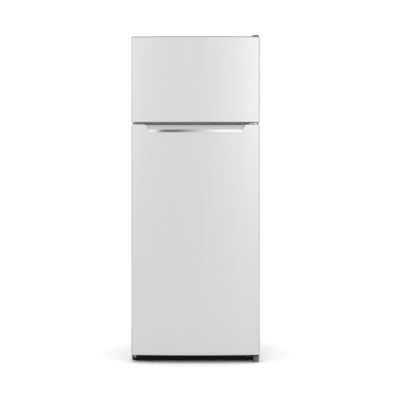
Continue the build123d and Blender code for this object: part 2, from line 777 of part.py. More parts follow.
tubs = [door_bin(FRIDGE_DYKE_HALF, floor, height) for floor, height in FRIDGE_BINS]
with BuildPart() as fridge_door_bins:
    add(tubs)
finish(fridge_door_bins, "fridge_door_bins")

# ---------------------------------------------------------------- Hinges and feet

HINGE_PLATE = 3.0
HINGE_FRONT = -263.0
SCREW_HEAD = 4.5
SCREW_SHANK = 2.25
SCREW_HEIGHT = 2.5
HINGE_FLANGE = 2.0
HINGE_CORNER = 6.0


def screw_holes(points, y_low, y_high):
    """Take screw holes along Y out of a flange."""
    for x, z in points:
        with Locations(Location((x, (y_low + y_high) / 2, z), (90, 0, 0))):
            Cylinder(SCREW_SHANK, y_high - y_low, mode=Mode.SUBTRACT)


def wall_screws(points, face, thickness):
    """Screws along Y, with their heads on the face at depth face and their shanks in the flange."""
    for x, z in points:
        with Locations(Location((x, face - SCREW_HEIGHT / 2, z), (90, 0, 0))):
            Cylinder(SCREW_HEAD, SCREW_HEIGHT)
        with Locations(Location((x, face + thickness / 2, z), (90, 0, 0))):
            Cylinder(SCREW_SHANK, thickness)


STRAP_LOW = FREEZER_DOOR_TOP + 1
STRAP_LEFT = 247.0
STRAP_WIDTH = 17.0
STRAP_REAR = -150.0
CRANK_FRONT = -216.0
CRANK_REAR = -213.0
FOOT_FRONT = -208.0
FOOT_SIDES = (242.0, 269.0)
top_screws = ((255.5, -196.0), (255.5, -168.0))

# Cranked strap: screwed to the roof, stepping up over the freezer door to carry its top pin
with BuildPart() as top_hinge:
    with BuildSketch(facing_right(STRAP_LEFT)):
        with BuildLine():
            Polyline(
                (HINGE_FRONT, STRAP_LOW),
                (CRANK_FRONT, STRAP_LOW),
                (CRANK_REAR, ROOF),
                (STRAP_REAR, ROOF),
                (STRAP_REAR, ROOF + HINGE_PLATE),
                (CRANK_REAR + 1.2, ROOF + HINGE_PLATE),
                (CRANK_FRONT + 1.2, STRAP_LOW + HINGE_PLATE),
                (HINGE_FRONT, STRAP_LOW + HINGE_PLATE),
                close=True,
            )
        make_face()
    extrude(amount=STRAP_WIDTH)
    fillet(top_hinge.edges().filter_by(Axis.Z).group_by(Axis.Y)[0], HINGE_CORNER)
    box_between((FOOT_SIDES[0], FOOT_FRONT, ROOF), (FOOT_SIDES[1], STRAP_REAR, ROOF + HINGE_PLATE))
    with Locations((PIN_X, PIN_Y, STRAP_LOW - PIN_REACH / 2)):
        Cylinder(PIN_RADIUS, PIN_REACH)
    for x, y in top_screws:
        with Locations((x, y, ROOF + HINGE_PLATE / 2)):
            Cylinder(SCREW_SHANK, HINGE_PLATE, mode=Mode.SUBTRACT)
finish(top_hinge, "top_hinge")

COVER_WALL = 1.5
COVER_NOSE = -268.0
COVER_TAIL = -138.0
COVER_CREST_END = -152.0
COVER_SIDES = (238.0, 271.0)
COVER_CREST = (251.0, 268.0)
COVER_SHOULDER = 4.0
COVER_NOSE_BEVEL = (4.0, 3.0)
COVER_GAP = 0.3


def cover_form(wall):
    """The hinge cover's low wedge, moved in by a wall: its side outline crossed with its front outline."""
    nose, tail, crest = COVER_NOSE + wall, COVER_TAIL - wall, HEIGHT - wall
    left, right = COVER_SIDES[0] + wall, COVER_SIDES[1] - wall
    low, shoulder = ROOF - wall, ROOF + COVER_SHOULDER - wall / 2
    with BuildPart(mode=Mode.PRIVATE) as form:
        with BuildSketch(facing_right(COVER_SIDES[0])):
            with BuildLine():
                Polyline(
                    (nose, low),
                    (nose, crest - COVER_NOSE_BEVEL[1]),
                    (nose + COVER_NOSE_BEVEL[0], crest),
                    (COVER_CREST_END, crest),
                    (tail, shoulder),
                    (tail, low),
                    close=True,
                )
            make_face()
        extrude(amount=COVER_SIDES[1] - COVER_SIDES[0])
        with BuildSketch(facing_front(COVER_TAIL)):
            with BuildLine():
                Polyline(
                    (left, low),
                    (left, shoulder),
                    (COVER_CREST[0], crest),
                    (COVER_CREST[1] - wall / 2, crest),
                    (right, shoulder),
                    (right, low),
                    close=True,
                )
            make_face()
        extrude(amount=COVER_TAIL - COVER_NOSE, mode=Mode.INTERSECT)
    return form.part


cover_outside, cover_hollow = cover_form(0), cover_form(COVER_WALL)

# Plastic cover over the top hinge: open underneath, and clear of the freezer door
with BuildPart() as top_hinge_cover:
    add(cover_outside)
    add(cover_hollow, mode=Mode.SUBTRACT)
    box_between(
        (COVER_SIDES[0], COVER_NOSE, ROOF),
        (COVER_SIDES[1], CRANK_REAR - 1, STRAP_LOW + COVER_GAP),
        mode=Mode.SUBTRACT,
    )
finish(top_hinge_cover, "top_hinge_cover")

MIDDLE_PLATE = 4.0
PLATE_RIGHT = 264.0
PLATE_LEFT = 232.0
GAP_MIDDLE = (FRIDGE_DOOR_TOP + FREEZER_DOOR_BOTTOM) / 2
middle_low = GAP_MIDDLE - MIDDLE_PLATE / 2
middle_flange = CABINET_FRONT - HINGE_FLANGE
MIDDLE_FLANGE_LEFT = 200.0
FLANGE_REACH = 18.5
SCREW_RISE = 11.0
middle_screws = [(x, GAP_MIDDLE + side * SCREW_RISE) for x in (214, 232) for side in (-1, 1)]

# Bracket in the gap between the doors, with one pin up and one pin down
with BuildPart() as middle_hinge:
    with BuildSketch(Plane.XY.offset(middle_low)) as outline:
        with BuildLine():
            Polyline(
                (PLATE_RIGHT, middle_flange),
                (PLATE_RIGHT, HINGE_FRONT),
                (PLATE_LEFT, HINGE_FRONT),
                (MIDDLE_FLANGE_LEFT + 5, middle_flange),
                close=True,
            )
        make_face()
        fillet(outline.vertices().group_by(Axis.Y)[0], HINGE_CORNER)
    extrude(amount=MIDDLE_PLATE)
    box_between(
        (MIDDLE_FLANGE_LEFT, middle_flange, GAP_MIDDLE - FLANGE_REACH),
        (PLATE_RIGHT, CABINET_FRONT, GAP_MIDDLE + FLANGE_REACH),
    )
    with Locations((PIN_X, PIN_Y, GAP_MIDDLE)):
        Cylinder(PIN_RADIUS, FREEZER_DOOR_BOTTOM - FRIDGE_DOOR_TOP + 2 * PIN_REACH)
    screw_holes(middle_screws, middle_flange - 1, CABINET_FRONT + 1)
finish(middle_hinge, "middle_hinge")

BOTTOM_PLATE_LOW = 30.0
BOTTOM_FLANGE_LOW = 14.0
BOTTOM_SIDES = (212.0, 268.0)
BOTTOM_FRONT = -265.0
bottom_flange = RAIL_FACE - HINGE_FLANGE
bottom_screws = ((222.0, 22.0), (236.0, 22.0))
cap_screw = (-263.0, 22.0)

# Bracket on the base rail, with a pin up into the fridge door and a hole for the right foot
with BuildPart() as bottom_hinge:
    with BuildSketch(Plane.XY.offset(BOTTOM_PLATE_LOW)) as outline:
        with BuildLine():
            Polyline(
                (BOTTOM_SIDES[1], bottom_flange),
                (BOTTOM_SIDES[1], BOTTOM_FRONT),
                (PLATE_LEFT + 4, BOTTOM_FRONT),
                (BOTTOM_SIDES[0] + 2, bottom_flange),
                close=True,
            )
        make_face()
        fillet(outline.vertices().group_by(Axis.Y)[0], HINGE_CORNER)
    extrude(amount=HINGE_PLATE)
    box_between(
        (BOTTOM_SIDES[0], bottom_flange, BOTTOM_FLANGE_LOW),
        (BOTTOM_SIDES[1], RAIL_FACE, BOTTOM_PLATE_LOW + HINGE_PLATE),
    )
    with Locations((PIN_X, PIN_Y, BOTTOM_PLATE_LOW + (HINGE_PLATE + PIN_REACH) / 2)):
        Cylinder(PIN_RADIUS, HINGE_PLATE + PIN_REACH)
    with Locations((*RIGHT_FOOT, BOTTOM_PLATE_LOW)):
        Cylinder(STUD_RADIUS + PIN_CLEARANCE, 3 * HINGE_PLATE, mode=Mode.SUBTRACT)
    screw_holes(bottom_screws, bottom_flange - 1, RAIL_FACE + 1)
finish(bottom_hinge, "bottom_hinge")

CAP_SCREW_RADIUS = 6.0
CAP_SCREW_HEIGHT = 3.0

# All the hinge screws, and the round head of the screw at the left end of the base rail
with BuildPart() as hinge_screws:
    for x, y in top_screws:
        with Locations((x, y, ROOF + HINGE_PLATE + SCREW_HEIGHT / 2)):
            Cylinder(SCREW_HEAD, SCREW_HEIGHT)
        with Locations((x, y, ROOF + HINGE_PLATE / 2)):
            Cylinder(SCREW_SHANK, HINGE_PLATE)
    wall_screws(middle_screws, middle_flange, HINGE_FLANGE)
    wall_screws(bottom_screws, bottom_flange, HINGE_FLANGE)
    with Locations(
        Location((cap_screw[0], RAIL_FACE - CAP_SCREW_HEIGHT / 2, cap_screw[1]), (90, 0, 0))
    ):
        Cylinder(CAP_SCREW_RADIUS, CAP_SCREW_HEIGHT)
finish(hinge_screws, "hinge_screws")

PAD_RADIUS = 13.0
PAD_HEIGHT = 6.0
COLLAR_RADIUS = 12.4
COLLAR_TOP = 26.0
KNURLS = 20
KNURL_RADIUS = 0.9
LEFT_PAD_RADIUS = 15.0
LEFT_PAD_HEIGHT = 9.0
LEFT_STUD_TOP = 27.0
RIGHT_STUD_TOP = BOTTOM_PLATE_LOW + 2.5


def knurled_disc(place, radius):
    """A round outline with small grooves round its edge, to turn the foot by."""
    with Locations(place):
        Circle(radius)
        with PolarLocations(radius + 0.2, KNURLS):
            Circle(KNURL_RADIUS, mode=Mode.SUBTRACT)


def stud(place, low, high):
    """The threaded stud of a foot."""
    with Locations((*place, (low + high) / 2)):
        Cylinder(STUD_RADIUS, high - low)


# Right front foot: a round pad, a tall knurled collar and a stud into the bottom hinge
with BuildPart() as right_foot:
    with Locations((*RIGHT_FOOT, PAD_HEIGHT / 2)):
        Cylinder(PAD_RADIUS, PAD_HEIGHT)
    with BuildSketch(Plane.XY.offset(PAD_HEIGHT)):
        knurled_disc(RIGHT_FOOT, COLLAR_RADIUS)
    extrude(amount=COLLAR_TOP - PAD_HEIGHT)
    stud(RIGHT_FOOT, COLLAR_TOP, RIGHT_STUD_TOP)
finish(right_foot, "right_foot")

# Left front foot: a flat knurled pad with a stud into the base rail
with BuildPart() as left_foot:
    with BuildSketch():
        knurled_disc(LEFT_FOOT, LEFT_PAD_RADIUS)
    extrude(amount=LEFT_PAD_HEIGHT)
    stud(LEFT_FOOT, LEFT_PAD_HEIGHT, LEFT_STUD_TOP)
finish(left_foot, "left_foot")

# ---------------------------------------------------------------- Machine room

BASE_LOW = 38.0
BASE_HIGH = 40.0
ROLLER_X = 240.0
ROLLER_Y = 225.0
ROLLER_RADIUS = 17.0
ROLLER_HALF = 10.0
ROLLER_EDGE = 2.0
ROLLER_GAP = 2.0
AXLE_RADIUS = 3.0
AXLE_HEAD = 2.0
EAR = 2.0
EAR_RADIUS = 8.0
EAR_FOOT = (34.0, 16.0)
PLATE_FRONT = ROOM_FRONT + 4
PLATE_BACK = 256.0
PLATE_LIP = 2.0
PLATE_LIP_LOW = 24.0

# Compressor plate across the back, with ears and riveted axles for the rear rollers
with BuildPart() as compressor_plate:
    box_between((-INNER_HALF, PLATE_FRONT, BASE_LOW), (INNER_HALF, PLATE_BACK, BASE_HIGH))
    box_between(
        (-INNER_HALF, PLATE_FRONT, PLATE_LIP_LOW), (INNER_HALF, PLATE_FRONT + PLATE_LIP, BASE_LOW)
    )
    for side in (-1, 1):
        for x in (ROLLER_X - ROLLER_HALF - ROLLER_GAP - EAR, ROLLER_X + ROLLER_HALF + ROLLER_GAP):
            left = min(side * x, side * (x + EAR))
            with BuildSketch(facing_right(left)):
                with Locations((ROLLER_Y, BASE_LOW)):
                    Rectangle(*EAR_FOOT)
                with Locations((ROLLER_Y, ROLLER_RADIUS)):
                    Circle(EAR_RADIUS)
                with Locations((ROLLER_Y, ROLLER_RADIUS + EAR_RADIUS)):
                    Rectangle(2 * EAR_RADIUS, 2 * EAR_RADIUS)
            extrude(amount=EAR)
        with Locations(Location((side * ROLLER_X, ROLLER_Y, ROLLER_RADIUS), (0, 90, 0))):
            Cylinder(AXLE_RADIUS, 2 * (ROLLER_HALF + ROLLER_GAP + EAR + AXLE_HEAD))
finish(compressor_plate, "compressor_plate")


HUB_HOLES = 5
HUB_HOLE_RADIUS = 2.6
HUB_HOLE_CIRCLE = 9.5
HUB_HOLE_DEPTH = 3.0


def roller(x):
    """A rear transport roller with a crowned tread, free to turn on its axle."""
    with BuildPart(mode=Mode.PRIVATE) as wheel:
        with Locations(Location((x, ROLLER_Y, ROLLER_RADIUS), (0, 90, 0))):
            Cylinder(ROLLER_RADIUS, 2 * ROLLER_HALF)
        rims = wheel.edges().filter_by(GeomType.CIRCLE)
        fillet(rims, ROLLER_EDGE)
        with Locations(Location((x, ROLLER_Y, ROLLER_RADIUS), (0, 90, 0))):
            Cylinder(AXLE_RADIUS + PIN_CLEARANCE, 2 * ROLLER_HALF + 2, mode=Mode.SUBTRACT)
        for side in (-1, 1):
            face = x + side * ROLLER_HALF
            with BuildSketch(facing_right(face)):
                with Locations((ROLLER_Y, ROLLER_RADIUS)):
                    with PolarLocations(HUB_HOLE_CIRCLE, HUB_HOLES):
                        Circle(HUB_HOLE_RADIUS)
            extrude(amount=-side * HUB_HOLE_DEPTH, mode=Mode.SUBTRACT)
    return wheel.part


wheels = {"left_roller": roller(-ROLLER_X), "right_roller": roller(ROLLER_X)}
with BuildPart() as left_roller:
    add(wheels["left_roller"])
finish(left_roller, "left_roller")

with BuildPart() as right_roller:
    add(wheels["right_roller"])
finish(right_roller, "right_roller")

COMPRESSOR = (40.0, 178.0)
CAN = (92.0, 62.0)
MOUNT_HEIGHT = 10.0
FOOT_PLATE = 3.0
CAN_BOTTOM = BASE_HIGH + MOUNT_HEIGHT + FOOT_PLATE
CAN_TOP = 198.0
STUB_X = COMPRESSOR[0] + CAN[0] + 8
SUCTION_Z = 125.0
DISCHARGE_Z = 90.0
foot_spacing = (2 * CAN[0] - 4, 2 * CAN[1] - 22)
DOME_RADIUS = 34.0
CAN_FOOT_RADIUS = 16.0
SEAM_LOW = 138.0
SEAM_HEIGHT = 5.0
SEAM_REACH = 3.0
FOOT_MARGIN = 26.0
NECK_RADIUS = 4.0
STUB_RADIUS = 5.0
STUB_LENGTH = 30.0
FOOT_CORNER = 12.0

# Sealed compressor: a domed can with a welded seam, a foot plate and two stub pipes
with BuildPart() as compressor:
    with BuildSketch(Plane.XY.offset(CAN_BOTTOM)):
        with Locations(COMPRESSOR):
            Ellipse(*CAN)
    extrude(amount=CAN_TOP - CAN_BOTTOM)
    fillet(compressor.faces().sort_by(Axis.Z)[-1].edges(), DOME_RADIUS)
    fillet(compressor.faces().sort_by(Axis.Z)[0].edges(), CAN_FOOT_RADIUS)
    with BuildSketch(Plane.XY.offset(SEAM_LOW)):
        with Locations(COMPRESSOR):
            Ellipse(CAN[0] + SEAM_REACH, CAN[1] + SEAM_REACH)
    extrude(amount=SEAM_HEIGHT)
    with BuildSketch(Plane.XY.offset(CAN_BOTTOM - FOOT_PLATE)):
        with Locations(COMPRESSOR):
            RectangleRounded(
                foot_spacing[0] + FOOT_MARGIN, foot_spacing[1] + FOOT_MARGIN, FOOT_CORNER
            )
            with GridLocations(*foot_spacing, 2, 2):
                Circle(NECK_RADIUS, mode=Mode.SUBTRACT)
    extrude(amount=FOOT_PLATE)
    for z in (SUCTION_Z, DISCHARGE_Z):
        with Locations(Location((STUB_X - STUB_LENGTH / 2, COMPRESSOR[1], z), (0, 90, 0))):
            Cylinder(STUB_RADIUS, STUB_LENGTH)
finish(compressor, "compressor")

COLLAR_HEIGHT = 3.0
GROMMET_RADIUS = 11.0
GROMMET_COLLAR_RADIUS = 6.5

# Rubber grommets under the compressor's feet, each with a neck and a collar through the foot hole
with BuildPart() as compressor_mounts:
    for radius, low, high in (
        (GROMMET_RADIUS, BASE_HIGH, BASE_HIGH + MOUNT_HEIGHT),
        (NECK_RADIUS, BASE_HIGH + MOUNT_HEIGHT, CAN_BOTTOM),
        (GROMMET_COLLAR_RADIUS, CAN_BOTTOM, CAN_BOTTOM + COLLAR_HEIGHT),
    ):
        with Locations((*COMPRESSOR, (low + high) / 2)):
            with GridLocations(*foot_spacing, 2, 2):
                Cylinder(radius, high - low)
finish(compressor_mounts, "compressor_mounts")

RELAY_BOX = (46.0, 64.0, 58.0)
RELAY_Z = 100.0
RELAY_CORNER = 6.0
RELAY_GAP = 0.3
GLAND_Z = 86.0
GLAND_RADIUS = 7.5
GLAND_BORE = 3.5
GLAND_LENGTH = 14.0
RELAY_X = COMPRESSOR[0] - CAN[0] - 6

# Relay cover on the compressor's side, with the supply cord's gland on its outer face
with BuildPart() as relay_cover:
    with Locations((RELAY_X, COMPRESSOR[1], RELAY_Z)):
        Box(*RELAY_BOX)
    fillet(relay_cover.edges().filter_by(Axis.Y), RELAY_CORNER)
    with BuildSketch(Plane.XY.offset(RELAY_Z - RELAY_BOX[2])):
        with Locations(COMPRESSOR):
            Ellipse(CAN[0] + RELAY_GAP, CAN[1] + RELAY_GAP)
    extrude(amount=2 * RELAY_BOX[2], mode=Mode.SUBTRACT)
    gland_x = RELAY_X - RELAY_BOX[0] / 2 + 1 - GLAND_LENGTH / 2
    with Locations(Location((gland_x, COMPRESSOR[1], GLAND_Z), (0, 90, 0))):
        Cylinder(GLAND_RADIUS, GLAND_LENGTH)
        Cylinder(GLAND_BORE, GLAND_LENGTH, mode=Mode.SUBTRACT)
finish(relay_cover, "relay_cover")

TRAY_WALL = 2.0
TRAY_HEIGHT = 26.0
TRAY_LENGTH = 180.0
TRAY_WIDTH = 110.0
TRAY_TAPER = -6.0
TRAY_CORNER = 12.0
DRAIN = (COMPRESSOR[0] - 60, 140.0)
DRAIN_LENGTH = 36.0
DRAIN_RADIUS = 7.0

# Evaporation tray on the compressor's dome, and the drain pipe that drips into it
with BuildPart() as drip_tray:
    with BuildSketch(Plane.XY.offset(CAN_TOP)):
        with Locations(COMPRESSOR):
            RectangleRounded(TRAY_LENGTH, TRAY_WIDTH, TRAY_CORNER)
    extrude(amount=TRAY_HEIGHT, taper=TRAY_TAPER)
    with BuildSketch(Plane.XY.offset(CAN_TOP + TRAY_WALL)):
        with Locations(COMPRESSOR):
            RectangleRounded(
                TRAY_LENGTH - 2 * TRAY_WALL, TRAY_WIDTH - 2 * TRAY_WALL, TRAY_CORNER - TRAY_WALL
            )
    extrude(amount=TRAY_HEIGHT, taper=TRAY_TAPER, mode=Mode.SUBTRACT)
    with Locations((*DRAIN, ROOM_TOP - DRAIN_LENGTH / 2)):
        Cylinder(DRAIN_RADIUS, DRAIN_LENGTH)
        Cylinder(DRAIN_RADIUS - TRAY_WALL, DRAIN_LENGTH, mode=Mode.SUBTRACT)
finish(drip_tray, "drip_tray")

CONDENSER_Y = 275.0
CONDENSER_HALF = 205.0
CONDENSER_TOP = 1320.0
CONDENSER_PITCH = 63.75
CONDENSER_PASSES = 17
TUBE_RADIUS = 2.5
ELBOW = 20.0
DRIER_TOP = CONDENSER_TOP - CONDENSER_PITCH * (CONDENSER_PASSES - 1) - ELBOW
DRIER_BOTTOM = 200.0
DRIER_X = -CONDENSER_HALF - ELBOW
DRIER_RADIUS = 9.0
DRIER_NECK = 3.0
DRIER_NECK_LENGTH = 4.0
DRIER_SHOULDER = 14.0
INLET_X = CONDENSER_HALF + 30


def serpentine(y, half, top, pitch, passes, start):
    """Back-and-forth path at depth y, from x = start, that steps down by pitch at each turn."""
    for index in range(passes):
        z = top - index * pitch
        side = 1 if index % 2 else -1
        Line((start, y, z), (side * half, y, z))
        start = side * half
        if index < passes - 1:
            ThreePointArc(
                (start, y, z), (side * (half + pitch / 2), y, z - pitch / 2), (start, y, z - pitch)
            )


def pipe(path, radius):
    """A solid tube of the given radius along a path."""
    with BuildPart(mode=Mode.PRIVATE) as tube:
        with BuildSketch(Plane(origin=path @ 0, z_dir=path % 0)):
            Circle(radius)
        sweep(path=path)
    return tube.part


with BuildLine() as condenser_path:
    serpentine(
        CONDENSER_Y, CONDENSER_HALF, CONDENSER_TOP, CONDENSER_PITCH, CONDENSER_PASSES, INLET_X
    )
    ThreePointArc(
        (-CONDENSER_HALF, CONDENSER_Y, DRIER_TOP + ELBOW),
        (DRIER_X + ELBOW - ELBOW * sqrt(0.5), CONDENSER_Y, DRIER_TOP + ELBOW * sqrt(0.5)),
        (DRIER_X, CONDENSER_Y, DRIER_TOP),
    )
runs_and_bends = [pipe(edge, TUBE_RADIUS) for edge in condenser_path.edges()]

# Condenser: straight runs and the U-bends brazed on between them, which meet face to face
with BuildPart() as condenser_tube:
    add(runs_and_bends, mode=Mode.REPLACE)
finish(condenser_tube, "condenser_tube")

# Filter drier at the condenser's outlet: a wide copper barrel with drawn-down ends
with BuildPart() as filter_drier:
    with BuildSketch(Plane.XZ.offset(-CONDENSER_Y)):
        with BuildLine():
            Polyline(
                (DRIER_X, DRIER_BOTTOM),
                (DRIER_X + DRIER_NECK, DRIER_BOTTOM),
                (DRIER_X + DRIER_NECK, DRIER_BOTTOM + DRIER_NECK_LENGTH),
                (DRIER_X + DRIER_RADIUS, DRIER_BOTTOM + DRIER_SHOULDER),
                (DRIER_X + DRIER_RADIUS, DRIER_TOP - DRIER_SHOULDER),
                (DRIER_X + DRIER_NECK, DRIER_TOP - DRIER_NECK_LENGTH),
                (DRIER_X + DRIER_NECK, DRIER_TOP),
                (DRIER_X, DRIER_TOP),
                close=True,
            )
        make_face()
    revolve(axis=Axis((DRIER_X, CONDENSER_Y, 0), (0, 0, 1)))
finish(filter_drier, "filter_drier")

RISER_X = 252.0
SUCTION_RADIUS = 4.0
CAPILLARY_RADIUS = 1.2
CAPILLARY_Y = 225.0
CAPILLARY_LOW = 165.0
SUCTION_X = STUB_X + 32
SUCTION_Y = COMPRESSOR[1] + 30
SUCTION_RISE = SUCTION_Z + 40
PIPE_BEND = 12.0
SUCTION_BEND = 14.0

with BuildLine() as discharge_path:
    FilletPolyline(
        (STUB_X, COMPRESSOR[1], DISCHARGE_Z),
        (RISER_X, COMPRESSOR[1], DISCHARGE_Z),
        (RISER_X, CONDENSER_Y, DISCHARGE_Z),
        (RISER_X, CONDENSER_Y, CONDENSER_TOP),
        (INLET_X, CONDENSER_Y, CONDENSER_TOP),
        radius=PIPE_BEND,
    )
with BuildLine() as suction_path:
    FilletPolyline(
        (STUB_X, COMPRESSOR[1], SUCTION_Z),
        (SUCTION_X, COMPRESSOR[1], SUCTION_Z),
        (SUCTION_X, SUCTION_Y, SUCTION_RISE),
        (SUCTION_X, SUCTION_Y, ROOM_TOP),
        radius=SUCTION_BEND,
    )
with BuildLine() as capillary_path:
    FilletPolyline(
        (DRIER_X, CONDENSER_Y, DRIER_BOTTOM),
        (DRIER_X, CONDENSER_Y, CAPILLARY_LOW),
        (DRIER_X, CAPILLARY_Y, CAPILLARY_LOW),
        (DRIER_X, CAPILLARY_Y, ROOM_TOP),
        radius=PIPE_BEND,
    )
lines = [
    pipe(discharge_path.wire(), TUBE_RADIUS),
    pipe(suction_path.wire(), SUCTION_RADIUS),
    pipe(capillary_path.wire(), CAPILLARY_RADIUS),
]

# Refrigerant lines: hot gas to the condenser, cold gas back from the freezer, and the thin capillary
with BuildPart() as refrigerant_pipes:
    add(lines)
finish(refrigerant_pipes, "refrigerant_pipes")

BRACKET_X = 75.0
BRACKET_HALF = 9.0
BRACKET_REACH = 14.0
BRACKET_CORNER = 3.0
BRACKET_GRIP = 0.2

# Clips that hold the condenser off the back panel and space the cabinet from a wall
with BuildPart() as condenser_brackets:
    for index in (1, CONDENSER_PASSES - 2):
        z = CONDENSER_TOP - index * CONDENSER_PITCH
        for x in (-BRACKET_X, BRACKET_X):
            box_between(
                (x - BRACKET_HALF, CABINET_BACK, z - BRACKET_REACH),
                (x + BRACKET_HALF, DEPTH / 2, z + BRACKET_REACH),
            )
    fillet(condenser_brackets.edges().filter_by(Axis.Y), BRACKET_CORNER)
    for index in (1, CONDENSER_PASSES - 2):
        z = CONDENSER_TOP - index * CONDENSER_PITCH
        with Locations(Location((0, CONDENSER_Y, z), (0, 90, 0))):
            Cylinder(
                TUBE_RADIUS + BRACKET_GRIP, 2 * (BRACKET_X + 2 * BRACKET_HALF), mode=Mode.SUBTRACT
            )
finish(condenser_brackets, "condenser_brackets")

# ---------------------------------------------------------------- Freezer compartment

FAN_Z = 1270.0
FAN_RADIUS = 48.0
COVER_THICKNESS = 2.5
COVER_MARGIN = 0.5
FAN_SLOT_RINGS = ((18.0, 8), (37.0, 16))
FAN_SLOT = (15.0, 5.0)
RETURN_SLOT = (26.0, 5.0)
RETURN_SLOT_PITCH = (34.0, 14.0)
RETURN_SLOT_COUNT = (11, 2)
RETURN_SLOT_Z = FREEZER_FLOOR + 24

# Cover in front of the evaporator, with a ring of slots for the fan and a row for the return air
with BuildPart() as evaporator_cover:
    with BuildSketch(facing_front(COVER_FRONT + COVER_THICKNESS)):
        with Locations((0, (FREEZER_FLOOR + FREEZER_CEILING) / 2)):
            RectangleRounded(
                2 * (FREEZER_HALF - COVER_MARGIN),
                FREEZER_CEILING - FREEZER_FLOOR - 2 * COVER_MARGIN,
                LINER_CORNER - COVER_MARGIN,
            )
        with Locations((0, FAN_Z)):
            for radius, count in FAN_SLOT_RINGS:
                with PolarLocations(radius, count):
                    SlotOverall(*FAN_SLOT, mode=Mode.SUBTRACT)
        with Locations((0, RETURN_SLOT_Z)):
            with GridLocations(*RETURN_SLOT_PITCH, *RETURN_SLOT_COUNT):
                SlotOverall(*RETURN_SLOT, mode=Mode.SUBTRACT)
    extrude(amount=COVER_THICKNESS)
finish(evaporator_cover, "evaporator_cover")

COIL_Y = 182.0
COIL_HALF = 185.0
COIL_TOP = 1180.0
COIL_PITCH = 26.0
COIL_PASSES = 5
COIL_RADIUS = 4.0
FIN = (0.6, 44.0, 124.0)
FIN_PITCH = 18.0
FINS = 20

with BuildLine() as coil_path:
    serpentine(COIL_Y, COIL_HALF, COIL_TOP, COIL_PITCH, COIL_PASSES, COIL_HALF + 20)
tube = pipe(coil_path.wire(), COIL_RADIUS)

# Evaporator: an aluminium tube with fins along its straight runs
with BuildPart() as evaporator_coil:
    add(tube)
    with Locations((0, COIL_Y, COIL_TOP - COIL_PITCH * (COIL_PASSES - 1) / 2)):
        with GridLocations(FIN_PITCH, 1, FINS, 1):
            Box(*FIN)
finish(evaporator_coil, "evaporator_coil")

MOTOR_RADIUS = 24.0
MOTOR_FRONT = 173.0
MOTOR_BACK = 203.0
ARM_FRONT = 186.0
ARM_BACK = 190.0
ARM_REACH = 60.0
ARM_LEG = 4.0
ARM_HALF = 6.0
FAN_SHAFT_RADIUS = 1.5

# Fan motor on two arms that stand on the back of the cover
with BuildPart() as fan_motor:
    with Locations(Location((0, (MOTOR_FRONT + MOTOR_BACK) / 2, FAN_Z), (90, 0, 0))):
        Cylinder(MOTOR_RADIUS, MOTOR_BACK - MOTOR_FRONT)
    for side in (-1, 1):
        left, right = sorted((side * (MOTOR_RADIUS - 4), side * ARM_REACH))
        box_between((left, ARM_FRONT, FAN_Z - ARM_HALF), (right, ARM_BACK, FAN_Z + ARM_HALF))
        left, right = sorted((side * (ARM_REACH - ARM_LEG), side * ARM_REACH))
        box_between(
            (left, COVER_FRONT + COVER_THICKNESS, FAN_Z - ARM_HALF), (right, ARM_BACK, FAN_Z + ARM_HALF)
        )
    with Locations(Location((0, MOTOR_FRONT + 9, FAN_Z), (90, 0, 0))):
        Cylinder(FAN_SHAFT_RADIUS + PIN_CLEARANCE, 20, mode=Mode.SUBTRACT)
finish(fan_motor, "fan_motor")

FAN_Y = 160.0
FAN_HUB_RADIUS = 14.0
FAN_HUB_LENGTH = 14.0
FAN_SHAFT_LENGTH = 28.0
FAN_BLADES = 5
FAN_PITCH = radians(32)
BLADE_ROOT = 10.0
BLADE_CHORD = 24.0
BLADE_CORNER = 8.0
BLADE_HALF = 0.7

# Five-bladed fan with its shaft, which turns in the motor
with BuildPart() as fan_blade:
    with Locations(Location((0, FAN_Y + 1, FAN_Z), (90, 0, 0))):
        Cylinder(FAN_HUB_RADIUS, FAN_HUB_LENGTH)
    for index in range(FAN_BLADES):
        turn = radians(360 / FAN_BLADES * index)
        outward = Vector(cos(turn), 0, sin(turn))
        pitched = Vector(0, -cos(FAN_PITCH), 0) + Vector(-sin(turn), 0, cos(turn)) * sin(FAN_PITCH)
        with BuildSketch(Plane(origin=(0, FAN_Y, FAN_Z), x_dir=outward, z_dir=pitched)):
            with Locations(((FAN_RADIUS + BLADE_ROOT) / 2, 0)):
                RectangleRounded(FAN_RADIUS - BLADE_ROOT, BLADE_CHORD, BLADE_CORNER)
        extrude(amount=BLADE_HALF, both=True)
    with Locations(Location((0, FAN_Y + 2 + FAN_SHAFT_LENGTH / 2, FAN_Z), (90, 0, 0))):
        Cylinder(FAN_SHAFT_RADIUS, FAN_SHAFT_LENGTH)
finish(fan_blade, "fan_blade")

WIRE_Z = FREEZER_SHELF_Z + 2.5
WIRE_HALF = FREEZER_HALF - 4.0
WIRE_BACK = COVER_FRONT - 7
FRAME_WIRE_RADIUS = 2.5
FRAME_WIRE_BEND = 12.0
CROSS_WIRE_RADIUS = 2.0
CROSS_WIRES = (-40.0, 70.0)
THIN_WIRE_RADIUS = 1.5
THIN_WIRE_PITCH = 21.5
THIN_WIRES = 19

with BuildLine() as frame_path:
    FilletPolyline(
        (-WIRE_HALF, FREEZER_SHELF_FRONT, WIRE_Z),
        (WIRE_HALF, FREEZER_SHELF_FRONT, WIRE_Z),
        (WIRE_HALF, WIRE_BACK, WIRE_Z),
        (-WIRE_HALF, WIRE_BACK, WIRE_Z),
        radius=FRAME_WIRE_BEND,
        close=True,
    )
frame_wire = pipe(frame_path.wire(), FRAME_WIRE_RADIUS)

